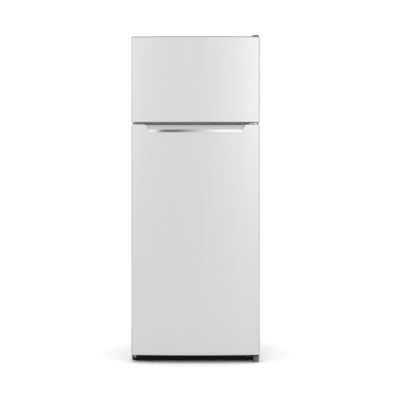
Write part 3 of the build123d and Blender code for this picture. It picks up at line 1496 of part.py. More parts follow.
# Wire shelf: a thick frame with two cross bars, and thinner wires that run front to back
with BuildPart() as freezer_shelf:
    add(frame_wire)
    with Locations((0, (FREEZER_SHELF_FRONT + WIRE_BACK) / 2, WIRE_Z + 1)):
        with GridLocations(THIN_WIRE_PITCH, 1, THIN_WIRES, 1):
            Cylinder(THIN_WIRE_RADIUS, WIRE_BACK - FREEZER_SHELF_FRONT, rotation=(90, 0, 0))
    for y in CROSS_WIRES:
        with Locations((0, y, WIRE_Z)):
            Cylinder(CROSS_WIRE_RADIUS, 2 * WIRE_HALF, rotation=(0, 90, 0))
finish(freezer_shelf, "freezer_shelf")

# ---------------------------------------------------------------- Fridge compartment

GLASS = 4.0
GLASS_HALF = FRIDGE_HALF - 1.5
TRIM_LOW = 2.5
TRIM_LENGTH = 12.0
REAR_TRIM_LENGTH = 10.0
TRIM_ROUND = 1.5
GRIP = 4.0


def glass_plate(z, back):
    box_between((-GLASS_HALF, SHELF_FRONT + GRIP, z), (GLASS_HALF, back, z + GLASS))


with BuildPart() as glass_shelves:
    for z in (LOWER_SHELF_Z, UPPER_SHELF_Z):
        glass_plate(z, SHELF_BACK - GRIP)
finish(glass_shelves, "glass_shelves")

with BuildPart() as crisper_cover:
    glass_plate(CRISPER_COVER_Z, SHELF_BACK - 2)
finish(crisper_cover, "crisper_cover")

# Plastic channels along the edges of the glass
with BuildPart() as shelf_trims:
    for z in (CRISPER_COVER_Z, LOWER_SHELF_Z, UPPER_SHELF_Z):
        box_between(
            (-GLASS_HALF, SHELF_FRONT, z - TRIM_LOW),
            (GLASS_HALF, SHELF_FRONT + TRIM_LENGTH, z + GLASS + TRIM_LOW),
        )
    for z in (LOWER_SHELF_Z, UPPER_SHELF_Z):
        box_between(
            (-GLASS_HALF, SHELF_BACK - REAR_TRIM_LENGTH, z - TRIM_LOW),
            (GLASS_HALF, SHELF_BACK, z + GLASS + TRIM_LOW),
        )
    fillet(shelf_trims.edges().filter_by(Axis.X), TRIM_ROUND)
    for z in (CRISPER_COVER_Z, LOWER_SHELF_Z, UPPER_SHELF_Z):
        box_between(
            (-GLASS_HALF - 1, SHELF_FRONT + GRIP, z),
            (GLASS_HALF + 1, SHELF_BACK - GRIP, z + GLASS),
            mode=Mode.SUBTRACT,
        )
finish(shelf_trims, "shelf_trims")

CRISPER_HALF = FRIDGE_HALF - 4
CRISPER_FRONT = -108.0
CRISPER_BACK = 50.0
CRISPER_LOW = FRIDGE_FLOOR + 1
CRISPER_HIGH = 278.0
CRISPER_WALL = 2.4
CRISPER_FRONT_WALL = 4.0
CRISPER_CORNER = 10.0
CRISPER_FOOT_ROUND = 3.0
LEDGE_HALF = 80.0
LEDGE_REACH = 14.0
LEDGE_DROP = 9.0
LEDGE_THICKNESS = 3.0

# Crisper drawer: a tub with a thicker front and a finger ledge along its top edge
with BuildPart() as crisper_drawer:
    with BuildSketch(Plane.XY.offset(CRISPER_LOW)):
        with Locations((0, (CRISPER_FRONT + CRISPER_BACK) / 2)):
            RectangleRounded(2 * CRISPER_HALF, CRISPER_BACK - CRISPER_FRONT, CRISPER_CORNER)
    extrude(amount=CRISPER_HIGH - CRISPER_LOW)
    fillet(crisper_drawer.faces().sort_by(Axis.Z)[0].edges(), CRISPER_FOOT_ROUND)
    with BuildSketch(Plane.XY.offset(CRISPER_LOW + CRISPER_WALL)):
        inner_front, inner_back = CRISPER_FRONT + CRISPER_FRONT_WALL, CRISPER_BACK - CRISPER_WALL
        with Locations((0, (inner_front + inner_back) / 2)):
            RectangleRounded(
                2 * (CRISPER_HALF - CRISPER_WALL), inner_back - inner_front, CRISPER_CORNER - CRISPER_WALL
            )
    extrude(amount=CRISPER_HIGH, mode=Mode.SUBTRACT)
    with BuildSketch(facing_right(-LEDGE_HALF)):
        with BuildLine():
            Polyline(
                (CRISPER_FRONT, CRISPER_HIGH),
                (CRISPER_FRONT - LEDGE_REACH, CRISPER_HIGH),
                (CRISPER_FRONT - LEDGE_REACH, CRISPER_HIGH - LEDGE_DROP),
                (CRISPER_FRONT - LEDGE_REACH + LEDGE_THICKNESS, CRISPER_HIGH - LEDGE_DROP),
                (CRISPER_FRONT - LEDGE_REACH + LEDGE_THICKNESS, CRISPER_HIGH - LEDGE_THICKNESS),
                (CRISPER_FRONT, CRISPER_HIGH - LEDGE_THICKNESS),
                close=True,
            )
        make_face()
    extrude(amount=2 * LEDGE_HALF)
finish(crisper_drawer, "crisper_drawer")

HOUSING_HALF = 120.0
HOUSING_LOW = 960.0
HOUSING_FRONT = -118.0
HOUSING_WALL = 2.0
HOUSING_BEVEL = 4.0
KNOB = (-70.0, 977.0)
KNOB_RADIUS = 15.0
SHAFT_RADIUS = 3.0
LENS = (30.0, 110.0)
LENS_FRONT = -106.0
LENS_BACK = -10.0

# Control box under the fridge ceiling: a sloped front, a hole for the knob, a window for the lamp
with BuildPart() as thermostat_housing:
    with BuildSketch(facing_right(-HOUSING_HALF)):
        with BuildLine():
            Polyline(
                (HOUSING_FRONT, FRIDGE_CEILING),
                (HOUSING_FRONT, HOUSING_LOW + HOUSING_BEVEL),
                (HOUSING_FRONT + HOUSING_BEVEL, HOUSING_LOW),
                (0, HOUSING_LOW),
                (0, FRIDGE_CEILING),
                close=True,
            )
        make_face()
    extrude(amount=2 * HOUSING_HALF)
    box_between(
        (HOUSING_WALL - HOUSING_HALF, HOUSING_FRONT + HOUSING_WALL, HOUSING_LOW + HOUSING_WALL),
        (HOUSING_HALF - HOUSING_WALL, -HOUSING_WALL, FRIDGE_CEILING + 1),
        mode=Mode.SUBTRACT,
    )
    box_between(
        (LENS[0], LENS_FRONT, HOUSING_LOW - 1),
        (LENS[1], LENS_BACK, HOUSING_LOW + HOUSING_WALL),
        mode=Mode.SUBTRACT,
    )
    with Locations(Location((KNOB[0], HOUSING_FRONT, KNOB[1]), (90, 0, 0))):
        Cylinder(SHAFT_RADIUS + PIN_CLEARANCE, 20, mode=Mode.SUBTRACT)
finish(thermostat_housing, "thermostat_housing")

DIAL_BACK = HOUSING_FRONT - 1
DIAL_THICKNESS = 7.0
DIAL_FRONT = DIAL_BACK - DIAL_THICKNESS
FLUTES = 24
FLUTE_RADIUS = 0.9
GRIP_BAR = (6.0, 6.0, 26.0)
GRIP_ROUND = 1.0
KNOB_SHAFT_LENGTH = 18.0

# Thermostat knob: a fluted dial with a grip bar, on a shaft through the housing's front
with BuildPart() as thermostat_knob:
    with BuildSketch(facing_front(DIAL_BACK)):
        with Locations(KNOB):
            Circle(KNOB_RADIUS)
            with PolarLocations(KNOB_RADIUS + 0.4, FLUTES):
                Circle(FLUTE_RADIUS, mode=Mode.SUBTRACT)
    extrude(amount=DIAL_THICKNESS)
    with Locations((KNOB[0], DIAL_FRONT - GRIP_BAR[1] / 2, KNOB[1])):
        Box(*GRIP_BAR)
    fillet(thermostat_knob.faces().sort_by(Axis.Y)[0].edges(), GRIP_ROUND)
    with Locations(Location((KNOB[0], DIAL_BACK + KNOB_SHAFT_LENGTH / 2, KNOB[1]), (90, 0, 0))):
        Cylinder(SHAFT_RADIUS, KNOB_SHAFT_LENGTH)
finish(thermostat_knob, "thermostat_knob")

LENS_LOW = HOUSING_LOW - 8
LENS_ROUND = 4.0
LENS_WALL = 1.5

# Lamp lens, a shallow clear tub set into the window of the control box
with BuildPart() as lamp_lens:
    box_between((LENS[0], LENS_FRONT, LENS_LOW), (LENS[1], LENS_BACK, HOUSING_LOW + HOUSING_WALL))
    fillet(lamp_lens.faces().sort_by(Axis.Z)[0].edges(), LENS_ROUND)
    box_between(
        (LENS[0] + LENS_WALL, LENS_FRONT + LENS_WALL, LENS_LOW + LENS_WALL),
        (LENS[1] - LENS_WALL, LENS_BACK - LENS_WALL, HOUSING_LOW + HOUSING_WALL),
        mode=Mode.SUBTRACT,
    )
finish(lamp_lens, "lamp_lens")

BULB_X = (LENS[0] + LENS[1]) / 2
BULB_Z = 977.0
BULB_RADIUS = 11.0
BULB_TIP = 10.0
BULB_FRONT = -87.0
BULB_BACK = -37.0
SOCKET_RADIUS = 9.0
SOCKET_BACK = -HOUSING_WALL

# Lamp: a small bulb and its socket, lying along the depth of the control box
with BuildPart() as lamp_bulb:
    with Locations(Location((BULB_X, (BULB_FRONT + BULB_BACK) / 2, BULB_Z), (90, 0, 0))):
        Cylinder(BULB_RADIUS, BULB_BACK - BULB_FRONT)
    fillet(lamp_bulb.faces().sort_by(Axis.Y)[0].edges(), BULB_TIP)
    with Locations(Location((BULB_X, (BULB_BACK + SOCKET_BACK) / 2, BULB_Z), (90, 0, 0))):
        Cylinder(SOCKET_RADIUS, SOCKET_BACK - BULB_BACK)
finish(lamp_bulb, "lamp_bulb")

SWITCH_X = 207.0
SWITCH_Z = 966.0
SWITCH_LOW = 954.0
SWITCH_FRONT = -175.0
SWITCH_BACK = -130.0
SWITCH_HALF = 12.0
SWITCH_WALL = 3.0
SWITCH_ROOF = 5.0
PLUNGER_RADIUS = 4.0
PLUNGER_TIP = 1.5
PLUNGER_FRONT = DYKE_CREST + 0.5
PLUNGER_BACK = -150.0
STOP_RADIUS = 6.5
STOP_Y = -166.0
STOP_THICKNESS = 4.0

# Door switch under the fridge ceiling, with a spring plunger that the door's raised rim meets
with BuildPart() as light_switch_housing:
    box_between(
        (SWITCH_X - SWITCH_HALF, SWITCH_FRONT, SWITCH_LOW),
        (SWITCH_X + SWITCH_HALF, SWITCH_BACK, FRIDGE_CEILING),
    )
    box_between(
        (SWITCH_X - SWITCH_HALF + SWITCH_WALL, SWITCH_FRONT + SWITCH_WALL, SWITCH_LOW + SWITCH_WALL),
        (SWITCH_X + SWITCH_HALF - SWITCH_WALL, SWITCH_BACK - SWITCH_WALL, FRIDGE_CEILING - SWITCH_ROOF),
        mode=Mode.SUBTRACT,
    )
    with Locations(Location((SWITCH_X, SWITCH_FRONT, SWITCH_Z), (90, 0, 0))):
        Cylinder(PLUNGER_RADIUS + PIN_CLEARANCE, 20, mode=Mode.SUBTRACT)
finish(light_switch_housing, "light_switch_housing")

# The switch's plunger, with a stop flange inside the housing
with BuildPart() as light_switch:
    with Locations(Location((SWITCH_X, (PLUNGER_FRONT + PLUNGER_BACK) / 2, SWITCH_Z), (90, 0, 0))):
        Cylinder(PLUNGER_RADIUS, PLUNGER_BACK - PLUNGER_FRONT)
    fillet(light_switch.faces().sort_by(Axis.Y)[0].edges(), PLUNGER_TIP)
    with Locations(Location((SWITCH_X, STOP_Y, SWITCH_Z), (90, 0, 0))):
        Cylinder(STOP_RADIUS, STOP_THICKNESS)
finish(light_switch, "light_switch")

DUCT_HALF = 60.0
DUCT_LOW = 330.0
DUCT_HIGH = 900.0
DUCT_FRONT = 203.0
DUCT_WALL = 2.0
DUCT_ROUND = 6.0
DUCT_SLOT = (80.0, 5.0)
DUCT_SLOT_PITCH = 12.0
DUCT_SLOT_ROWS = 3
DUCT_OUTLETS = (450.0, 600.0, 700.0, 830.0)

# Air duct up the fridge's back wall, with outlet slots above each shelf
with BuildPart() as air_duct:
    box_between((-DUCT_HALF, DUCT_FRONT, DUCT_LOW), (DUCT_HALF, LINER_BACK, DUCT_HIGH))
    front_face = air_duct.faces().sort_by(Axis.Y)[0]
    fillet(front_face.edges(), DUCT_ROUND)
    box_between(
        (DUCT_WALL - DUCT_HALF, DUCT_FRONT + DUCT_WALL, DUCT_LOW + DUCT_WALL),
        (DUCT_HALF - DUCT_WALL, LINER_BACK + 1, DUCT_HIGH - DUCT_WALL),
        mode=Mode.SUBTRACT,
    )
    with BuildSketch(facing_front(DUCT_FRONT + DUCT_WALL)):
        for z in DUCT_OUTLETS:
            with Locations((0, z)):
                with GridLocations(1, DUCT_SLOT_PITCH, 1, DUCT_SLOT_ROWS):
                    SlotOverall(*DUCT_SLOT)
    extrude(amount=DUCT_WALL, mode=Mode.SUBTRACT)
finish(air_duct, "air_duct")
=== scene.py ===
import math

import bmesh
import bpy
from mathutils import Matrix, Vector


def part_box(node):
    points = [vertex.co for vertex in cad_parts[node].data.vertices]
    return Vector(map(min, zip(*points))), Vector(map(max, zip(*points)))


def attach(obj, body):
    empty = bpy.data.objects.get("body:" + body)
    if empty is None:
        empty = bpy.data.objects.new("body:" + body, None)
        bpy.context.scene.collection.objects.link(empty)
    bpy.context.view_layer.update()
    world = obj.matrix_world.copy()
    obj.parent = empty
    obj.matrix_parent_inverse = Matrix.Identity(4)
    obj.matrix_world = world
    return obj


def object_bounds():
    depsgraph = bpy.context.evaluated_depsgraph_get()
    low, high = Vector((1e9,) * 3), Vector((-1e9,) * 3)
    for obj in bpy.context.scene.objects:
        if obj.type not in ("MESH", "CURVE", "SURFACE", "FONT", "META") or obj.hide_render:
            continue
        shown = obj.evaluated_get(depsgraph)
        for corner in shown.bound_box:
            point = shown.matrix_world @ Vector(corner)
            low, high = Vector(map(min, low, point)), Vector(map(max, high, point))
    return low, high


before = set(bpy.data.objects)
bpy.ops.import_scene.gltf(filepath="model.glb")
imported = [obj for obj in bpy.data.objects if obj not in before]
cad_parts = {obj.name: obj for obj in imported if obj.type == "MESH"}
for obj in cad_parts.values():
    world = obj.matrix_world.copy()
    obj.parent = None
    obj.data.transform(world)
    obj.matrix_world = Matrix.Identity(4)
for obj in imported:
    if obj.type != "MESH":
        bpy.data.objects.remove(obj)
cad_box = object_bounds()

# ---- Studio
# A pale floor that runs out to the horizon under a lamp of its own, and three soft lamps round the
# object that leave the floor alone. A graded screen, which only reflections see, stands behind the
# camera and gives the polished strip something dark to mirror.
door_front = cad_box[0][1]
middle_height = (cad_box[0][2] + cad_box[1][2]) / 2
FLOOR_HALF = 40
SCREEN_HALF = 0.85
SCREEN_HALF_HEIGHT = 1.6
SCREEN_PLACE = (-0.25, door_front - 6.0, 1.4)
EYE_PLACE = (0.019, door_front - 4.0, middle_height - 0.005)
UPRIGHT = (math.radians(90), 0, 0)


def studio_sheet(name, half_width, half_height):
    """A flat sheet of the studio, square to Z until it is turned."""
    sheet = bpy.data.objects.new(name, bpy.data.meshes.new(name))
    bpy.context.collection.objects.link(sheet)
    flat = bmesh.new()
    shape = Matrix.Diagonal((half_width, half_height, 1, 1))
    bmesh.ops.create_grid(flat, x_segments=1, y_segments=1, size=1, matrix=shape)
    flat.to_mesh(sheet.data)
    flat.free()
    return sheet


floor = studio_sheet("floor", FLOOR_HALF, FLOOR_HALF)
screen = studio_sheet("screen", SCREEN_HALF, SCREEN_HALF_HEIGHT)
screen.location = SCREEN_PLACE
screen.rotation_euler = UPRIGHT
screen.visible_camera = False
screen.visible_diffuse = False
screen.visible_shadow = False

eye = bpy.data.cameras.new("eye")
eye.lens = 84.4
eye.sensor_width = 36
camera = bpy.data.objects.new("eye", eye)
camera.location = EYE_PLACE
camera.rotation_euler = UPRIGHT
bpy.context.collection.objects.link(camera)
bpy.context.scene.camera = camera
bpy.context.scene.view_settings.view_transform = "Standard"

air = bpy.data.worlds.new("studio air")
air.use_nodes = True
air.node_tree.nodes["Background"].inputs["Color"].default_value = (1, 1, 1, 1)
air.node_tree.nodes["Background"].inputs["Strength"].default_value = 1.08
bpy.context.scene.world = air

floor_only = bpy.data.collections.new("floor only")
floor_only.objects.link(floor)
all_but_floor = bpy.data.collections.new("all but the floor")
all_but_floor.objects.link(floor)
all_but_floor.collection_objects[0].light_linking.link_state = "EXCLUDE"


def soft_light(name, place, target, size, watts, lit):
    """A rectangular lamp at one point that faces another and lights one collection."""
    lamp = bpy.data.lights.new(name, "AREA")
    lamp.shape = "RECTANGLE"
    lamp.size, lamp.size_y = size
    lamp.energy = watts
    holder = bpy.data.objects.new(name, lamp)
    holder.location = place
    holder.rotation_euler = (Vector(target) - Vector(place)).to_track_quat("-Z", "Y").to_euler()
    holder.light_linking.receiver_collection = lit
    bpy.context.collection.objects.link(holder)


DOOR_MIDDLE = (0, 0, 0.9)
BACK_MIDDLE = (0, 0, 0.7)
FLOOR_AHEAD = (0, -1.2, 0)
soft_light("right light", (1.6, -3.0, 1.7), DOOR_MIDDLE, (1.0, 1.7), 19, all_but_floor)
soft_light("left light", (-1.8, -3.0, 1.9), DOOR_MIDDLE, (1.0, 1.6), 12.5, all_but_floor)
soft_light("back light", (-1.5, 3.2, 2.6), BACK_MIDDLE, (1.8, 1.6), 20, all_but_floor)
soft_light("floor light", (0, -1.2, 5.0), FLOOR_AHEAD, (3.0, 3.0), 42, floor_only)

# ---- Cabinet shell
# Roof and sides of the cabinet: one folded steel sheet, sprayed silver grey. The paint has the
# fine orange-peel skin of a baked coat.


class Wire:
    """An output in a material's node tree. Arithmetic on it adds Math nodes to the same tree."""

    def __init__(self, tree, output=None):
        self.tree = tree
        self.output = output

    def node(self, kind, settings, sockets, result=0):
        """Add a node: first its settings, then a value or another Wire for each named socket."""
        made = self.tree.nodes.new(kind)
        for setting, value in settings.items():
            if setting == "stops":
                ramp = made.color_ramp.elements
                while len(ramp) < len(value):
                    ramp.new(1.0)
                for stop, (position, colour) in zip(ramp, value):
                    stop.position, stop.color = position, colour
            else:
                setattr(made, setting, value)
        for socket, value in sockets.items():
            if isinstance(value, Wire):
                self.tree.links.new(value.output, made.inputs[socket])
            else:
                made.inputs[socket].default_value = value
        return Wire(self.tree, made.outputs[result])

    def maths(self, operation, first, second):
        return self.node("ShaderNodeMath", {"operation": operation}, {0: first, 1: second})

    def __add__(self, other):
        return self.maths("ADD", self, other)

    __radd__ = __add__

    def __mul__(self, other):
        return self.maths("MULTIPLY", self, other)

    __rmul__ = __mul__

    def __sub__(self, other):
        return self.maths("SUBTRACT", self, other)

    def __rsub__(self, other):
        return self.maths("SUBTRACT", other, self)

    def __truediv__(self, other):
        return self.maths("DIVIDE", self, other)

    def ramp(self, steps):
        """A value that runs straight between steps: pairs of this value and the new one."""
        low, high = steps[0][0], steps[-1][0]
        stops = [((at - low) / (high - low), (tone, tone, tone, 1)) for at, tone in steps]
        return self.node("ShaderNodeValToRGB", {"stops": stops}, {0: (self - low) / (high - low)})

    def blend(self, dark, light):
        """A colour between two colours, by this value from 0 to 1."""
        return self.node(
            "ShaderNodeMix", {"data_type": "RGBA"}, {0: self, 6: (*dark, 1), 7: (*light, 1)}, 2
        )


class Finish:
    """A material with one Principled shader: fixed values on its own sockets, and wires to feed."""

    def __init__(self, name, fixed):
        self.material = bpy.data.materials.new(name)
        self.material.use_nodes = True
        self.tree = self.material.node_tree
        self.shader = self.tree.nodes["Principled BSDF"]
        for socket, value in fixed.items():
            self.shader.inputs[socket].default_value = value
        self.wire = Wire(self.tree)
        self.place = self.wire.node("ShaderNodeTexCoord", {}, {}, "Object")

    def feed(self, socket, value):
        self.tree.links.new(value.output, self.shader.inputs[socket])

    def noise(self, scale, detail=2.0, stretch=(1, 1, 1)):
        """Soft random values round 0.5, with features of about one over scale metres."""
        stretched = self.wire.node(
            "ShaderNodeVectorMath", {"operation": "MULTIPLY"}, {0: self.place, 1: stretch}
        )
        return self.wire.node(
            "ShaderNodeTexNoise", {}, {"Vector": stretched, "Scale": scale, "Detail": detail}
        )

    def bump(self, height, depth):
        """Raise the surface by a value from 0 to 1, depth metres deep."""
        raised = self.wire.node(
            "ShaderNodeBump", {}, {"Height": height, "Strength": 1.0, "Distance": depth}
        )
        self.feed("Normal", raised)

    def along(self, axis):
        """The place on the object along X, Y or Z, in metres."""
        return self.wire.node("ShaderNodeSeparateXYZ", {}, {"Vector": self.place}, axis)

    def wear(self, *names):
        """Put this finish on CAD pieces."""
        for name in names:
            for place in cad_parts[name].material_slots:
                place.material = self.material


cabinet_paint = Finish("silver grey paint", {"Coat Weight": 0.15, "Coat Roughness": 0.25})
peel = cabinet_paint.noise(420, 3)
drift = cabinet_paint.noise(2.5, 1)
mottle = 0.7 * drift + 0.3 * peel
cabinet_paint.feed("Base Color", mottle.blend((0.42, 0.425, 0.43), (0.50, 0.505, 0.51)))
cabinet_paint.feed("Roughness", 0.36 + 0.14 * peel)
cabinet_paint.bump(peel, 0.00012)
cabinet_paint.wear("outer_shell")

floor_paint = Finish("pale floor", {"Base Color": (0.985, 0.985, 0.985, 1)})
floor_paint.feed("Roughness", 0.8 + 0.1 * floor_paint.noise(3))
floor.data.materials.append(floor_paint.material)

graded_cloth = Finish("graded screen cloth", {"Roughness": 1.0})
SCREEN_TONES = [
    (-SCREEN_HALF, 0.9), (-0.72, 0.12), (-0.25, 0.16), (0.35, 0.62), (SCREEN_HALF, 0.98)
]
shade = graded_cloth.along("X").ramp(SCREEN_TONES)
graded_cloth.feed("Base Color", shade.blend((0, 0, 0), (1, 1, 1)))
screen.data.materials.append(graded_cloth.material)

# ---- Cabinet floor, back and cross rails
# Zinc-coated steel closes the cabinet underneath and carries the compressor. The back sheet is
# painted dull grey, the centre rail blue-grey and the rail at the foot black; the black of the foot
# rail and bottom hinge is darkened further and made less shiny as painted shade under the doors.
zinc = Finish("zinc coated steel", {"Metallic": 0.9})
spangle = zinc.wire.node(
    "ShaderNodeTexVoronoi", {"feature": "F1"}, {"Vector": zinc.place, "Scale": 55.0}, "Color"
)
crystal = zinc.wire.node("ShaderNodeSeparateColor", {}, {"Color": spangle}, "Red")
zinc.feed("Base Color", crystal.blend((0.50, 0.51, 0.53), (0.66, 0.67, 0.69)))
zinc.feed("Roughness", 0.34 + 0.2 * crystal)
zinc.wear("bottom_plate", "compressor_plate")

back_paint = Finish("dull grey paint", {"Coat Weight": 0.05})
grain = back_paint.noise(600, 3)
back_paint.feed("Base Color", grain.blend((0.38, 0.385, 0.39), (0.44, 0.445, 0.45)))
back_paint.feed("Roughness", 0.5 + 0.15 * grain)
back_paint.bump(grain, 0.0001)
back_paint.wear("back_panel")

rail_paint = Finish("blue-grey paint", {"Coat Weight": 0.1})
grain = rail_paint.noise(500, 3)
rail_paint.feed("Base Color", grain.blend((0.46, 0.49, 0.52), (0.52, 0.55, 0.58)))
rail_paint.feed("Roughness", 0.42 + 0.12 * grain)
rail_paint.bump(grain, 0.0001)
rail_paint.wear("centre_rail")

# Black paint, and painted shade: a near-zero colour and a weak specular make the foot rail and
# bottom hinge as dark as the shade under the doors.
black_paint_and_painted_shade = Finish("black paint darkened as painted shade", {"Specular IOR Level": 0.12})
grain = black_paint_and_painted_shade.noise(550, 3)
black_paint_and_painted_shade.feed("Base Color", grain.blend((0.003, 0.003, 0.003), (0.009, 0.009, 0.009)))
black_paint_and_painted_shade.feed("Roughness", 0.5 + 0.2 * grain)
black_paint_and_painted_shade.bump(grain, 0.0001)
black_paint_and_painted_shade.wear("base_rail", "bottom_hinge")

# ---- Insulation
# Polyurethane foam, foamed in place. It is shut in on all sides, so only its fine cells matter.
foam = Finish("straw coloured foam", {"Roughness": 0.95})
cells = foam.wire.node(
    "ShaderNodeTexVoronoi", {}, {"Vector": foam.place, "Scale": 900.0}, "Distance"
)
foam.feed("Base Color", cells.blend((0.78, 0.68, 0.44), (0.90, 0.82, 0.60)))
foam.bump(cells, 0.0004)
foam.wear("cabinet_foam", "freezer_door_foam", "fridge_door_foam")

# ---- Inner linings
# Vacuum-formed white plastic, in the two compartments and on the inner face of both doors. It is
# glossy, with the slight ripple that the sheet keeps from the mould.
lining = Finish("white lining plastic", {"Coat Weight": 0.3, "Coat Roughness": 0.12})
ripple = lining.noise(26, 2)
skin = lining.noise(900, 2)
lining.feed("Base Color", ripple.blend((0.84, 0.85, 0.85), (0.88, 0.885, 0.885)))
lining.feed("Roughness", 0.26 + 0.12 * skin)
lining.bump(ripple + 0.2 * skin, 0.0003)
lining.wear("freezer_liner", "fridge_liner", "freezer_door_liner", "fridge_door_liner")

# ---- Machine room
# The sealed compressor is a black enamelled can on rubber grommets. Its relay cover is black
# moulded plastic, the melt-water tray above it is white, and the pipes are bright copper.
enamel = Finish("black enamel", {"Coat Weight": 0.6, "Coat Roughness": 0.08})
peel = enamel.noise(240, 2)
enamel.feed("Base Color", peel.blend((0.010, 0.010, 0.011), (0.020, 0.020, 0.021)))
enamel.feed("Roughness", 0.28 + 0.1 * peel)
enamel.bump(peel, 0.0003)
enamel.wear("compressor")

black_rubber = Finish("black rubber", {"Specular IOR Level": 0.35})
grain = black_rubber.noise(1500, 2)
black_rubber.feed("Base Color", grain.blend((0.015, 0.015, 0.015), (0.030, 0.030, 0.030)))
black_rubber.feed("Roughness", 0.75 + 0.15 * grain)
black_rubber.bump(grain, 0.00008)
black_rubber.wear("compressor_mounts")

black_plastic = Finish("black moulded plastic", {})
stipple = black_plastic.noise(1300, 2)
black_plastic.feed("Base Color", stipple.blend((0.018, 0.018, 0.018), (0.032, 0.032, 0.032)))
black_plastic.feed("Roughness", 0.5 + 0.15 * stipple)
black_plastic.bump(stipple, 0.0001)
black_plastic.wear(
    "relay_cover", "condenser_brackets", "fan_motor", "left_foot", "left_roller", "right_roller"
)
black_plastic.wear("freezer_door_bushes", "fridge_door_bushes")

white_moulding = Finish("white moulded plastic", {"Coat Weight": 0.05})
stipple = white_moulding.noise(1100, 2)
white_moulding.feed("Base Color", stipple.blend((0.80, 0.81, 0.81), (0.86, 0.865, 0.865)))
white_moulding.feed("Roughness", 0.42 + 0.12 * stipple)
white_moulding.bump(stipple, 0.00008)
white_moulding.wear("drip_tray")

copper = Finish("drawn copper", {"Metallic": 1.0})
tarnish = copper.noise(38, 3)
copper.feed("Base Color", tarnish.blend((0.42, 0.19, 0.10), (0.86, 0.46, 0.28)))
copper.feed("Roughness", 0.22 + 0.25 * tarnish)
copper.wear("refrigerant_pipes", "filter_drier")

# ---- Condenser
# A steel tube that snakes down the back, painted black, with thin steel wires welded across its
# runs on both sides. Four black plastic clips hold it off the back sheet.
condenser_paint = Finish("black condenser paint", {"Coat Weight": 0.2, "Coat Roughness": 0.2})
grain = condenser_paint.noise(700, 2)
condenser_paint.feed("Base Color", grain.blend((0.014, 0.014, 0.014), (0.028, 0.028, 0.028)))
condenser_paint.feed("Roughness", 0.35 + 0.15 * grain)
condenser_paint.wear("condenser_tube")

tube_low, tube_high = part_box("condenser_tube")
clip_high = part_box("condenser_brackets")[1]
TUBE_RADIUS = 0.0025
WIRE_RADIUS = 0.00075
WIRE_GAP = 0.0115
WIRE_SIDES = 6
WIRE_SPREAD = 0.198
WIRE_ABOVE_TUBE = 0.006
WIRE_ABOVE_TUBE_FOOT = 0.012
CLIP_HALF = 0.009
CLIP_CLEARANCE = 0.0015


def add_rod(shape, start, end, radius, sides):
    """Add a thin closed rod between two points to a bmesh."""
    along = end - start
    turn = along.to_track_quat("Z", "Y").to_matrix().to_4x4()
    bmesh.ops.create_cone(
        shape,
        cap_ends=True,
        segments=sides,
        radius1=radius,
        radius2=radius,
        depth=along.length,
        matrix=Matrix.Translation((start + end) / 2) @ turn,
    )


def new_piece(name, shape, finish, body):
    """Turn a bmesh into a piece of the object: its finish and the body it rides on."""
    mesh = bpy.data.meshes.new(name)
    shape.to_mesh(mesh)
    shape.free()
    mesh.materials.append(finish.material)
    piece = bpy.data.objects.new(name, mesh)
    bpy.context.collection.objects.link(piece)
    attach(piece, body)
    return piece


wires = bmesh.new()
clip_middle = clip_high.x - CLIP_HALF
count = int(2 * WIRE_SPREAD / WIRE_GAP)
tube_middle = (tube_low.y + tube_high.y) / 2
for index in range(count + 1):
    x = -WIRE_SPREAD + index * 2 * WIRE_SPREAD / count
    if abs(abs(x) - clip_middle) <= CLIP_HALF + CLIP_CLEARANCE:
        continue
    for side in (-1, 1):
        y = tube_middle + side * (TUBE_RADIUS + WIRE_RADIUS)
        bottom = Vector((x, y, tube_low.z + WIRE_ABOVE_TUBE_FOOT))
        top = Vector((x, y, tube_high.z + WIRE_ABOVE_TUBE))
        add_rod(wires, bottom, top, WIRE_RADIUS, WIRE_SIDES)
new_piece("condenser_wires", wires, condenser_paint, "cabinet")

# ---- Freezer compartment
# A wire shelf dipped in white plastic, and at the back the white cover of the evaporator, whose
# aluminium coil and fan sit behind it.
dipped_wire = Finish("white dipped wire", {"Coat Weight": 0.5, "Coat Roughness": 0.1})
sag = dipped_wire.noise(160, 2)
dipped_wire.feed("Base Color", sag.blend((0.82, 0.825, 0.825), (0.90, 0.90, 0.90)))
dipped_wire.feed("Roughness", 0.25 + 0.1 * sag)
dipped_wire.bump(sag, 0.0002)
dipped_wire.wear("freezer_shelf")
white_moulding.wear("evaporator_cover", "fan_blade")

mill_aluminium = Finish("mill finish aluminium", {"Metallic": 1.0})
streaks = mill_aluminium.noise(300, 2, (0.05, 1, 1))
mill_aluminium.feed("Base Color", streaks.blend((0.68, 0.69, 0.70), (0.80, 0.81, 0.82)))
mill_aluminium.feed("Roughness", 0.3 + 0.2 * streaks)
mill_aluminium.wear("evaporator_coil")

# ---- Fridge compartment
# Tempered glass shelves in white plastic edge channels, a clear crisper drawer, and under the
# ceiling the white control box with its knob, lamp and door switch.
shelf_glass = Finish(
    "tempered shelf glass", {"Base Color": (0.78, 0.93, 0.88, 1), "IOR": 1.52, "Coat Weight": 0.4}
)
smear = shelf_glass.noise(7, 3)
shelf_glass.feed("Roughness", 0.02 + 0.05 * smear)
shelf_glass.feed("Alpha", 0.20 + 0.06 * smear)
shelf_glass.wear("glass_shelves", "crisper_cover", "lamp_bulb")
white_moulding.wear("shelf_trims", "thermostat_housing", "light_switch_housing", "air_duct")
white_moulding.wear("thermostat_knob", "light_switch")

clear_plastic = Finish("clear moulded plastic", {"IOR": 1.5, "Coat Weight": 0.5})
flow = clear_plastic.noise(18, 2)
clear_plastic.feed("Base Color", flow.blend((0.76, 0.80, 0.82), (0.84, 0.88, 0.90)))
clear_plastic.feed("Roughness", 0.08 + 0.10 * flow)
clear_plastic.feed("Alpha", 0.30 + 0.10 * flow)
clear_plastic.wear("crisper_drawer", "lamp_lens")
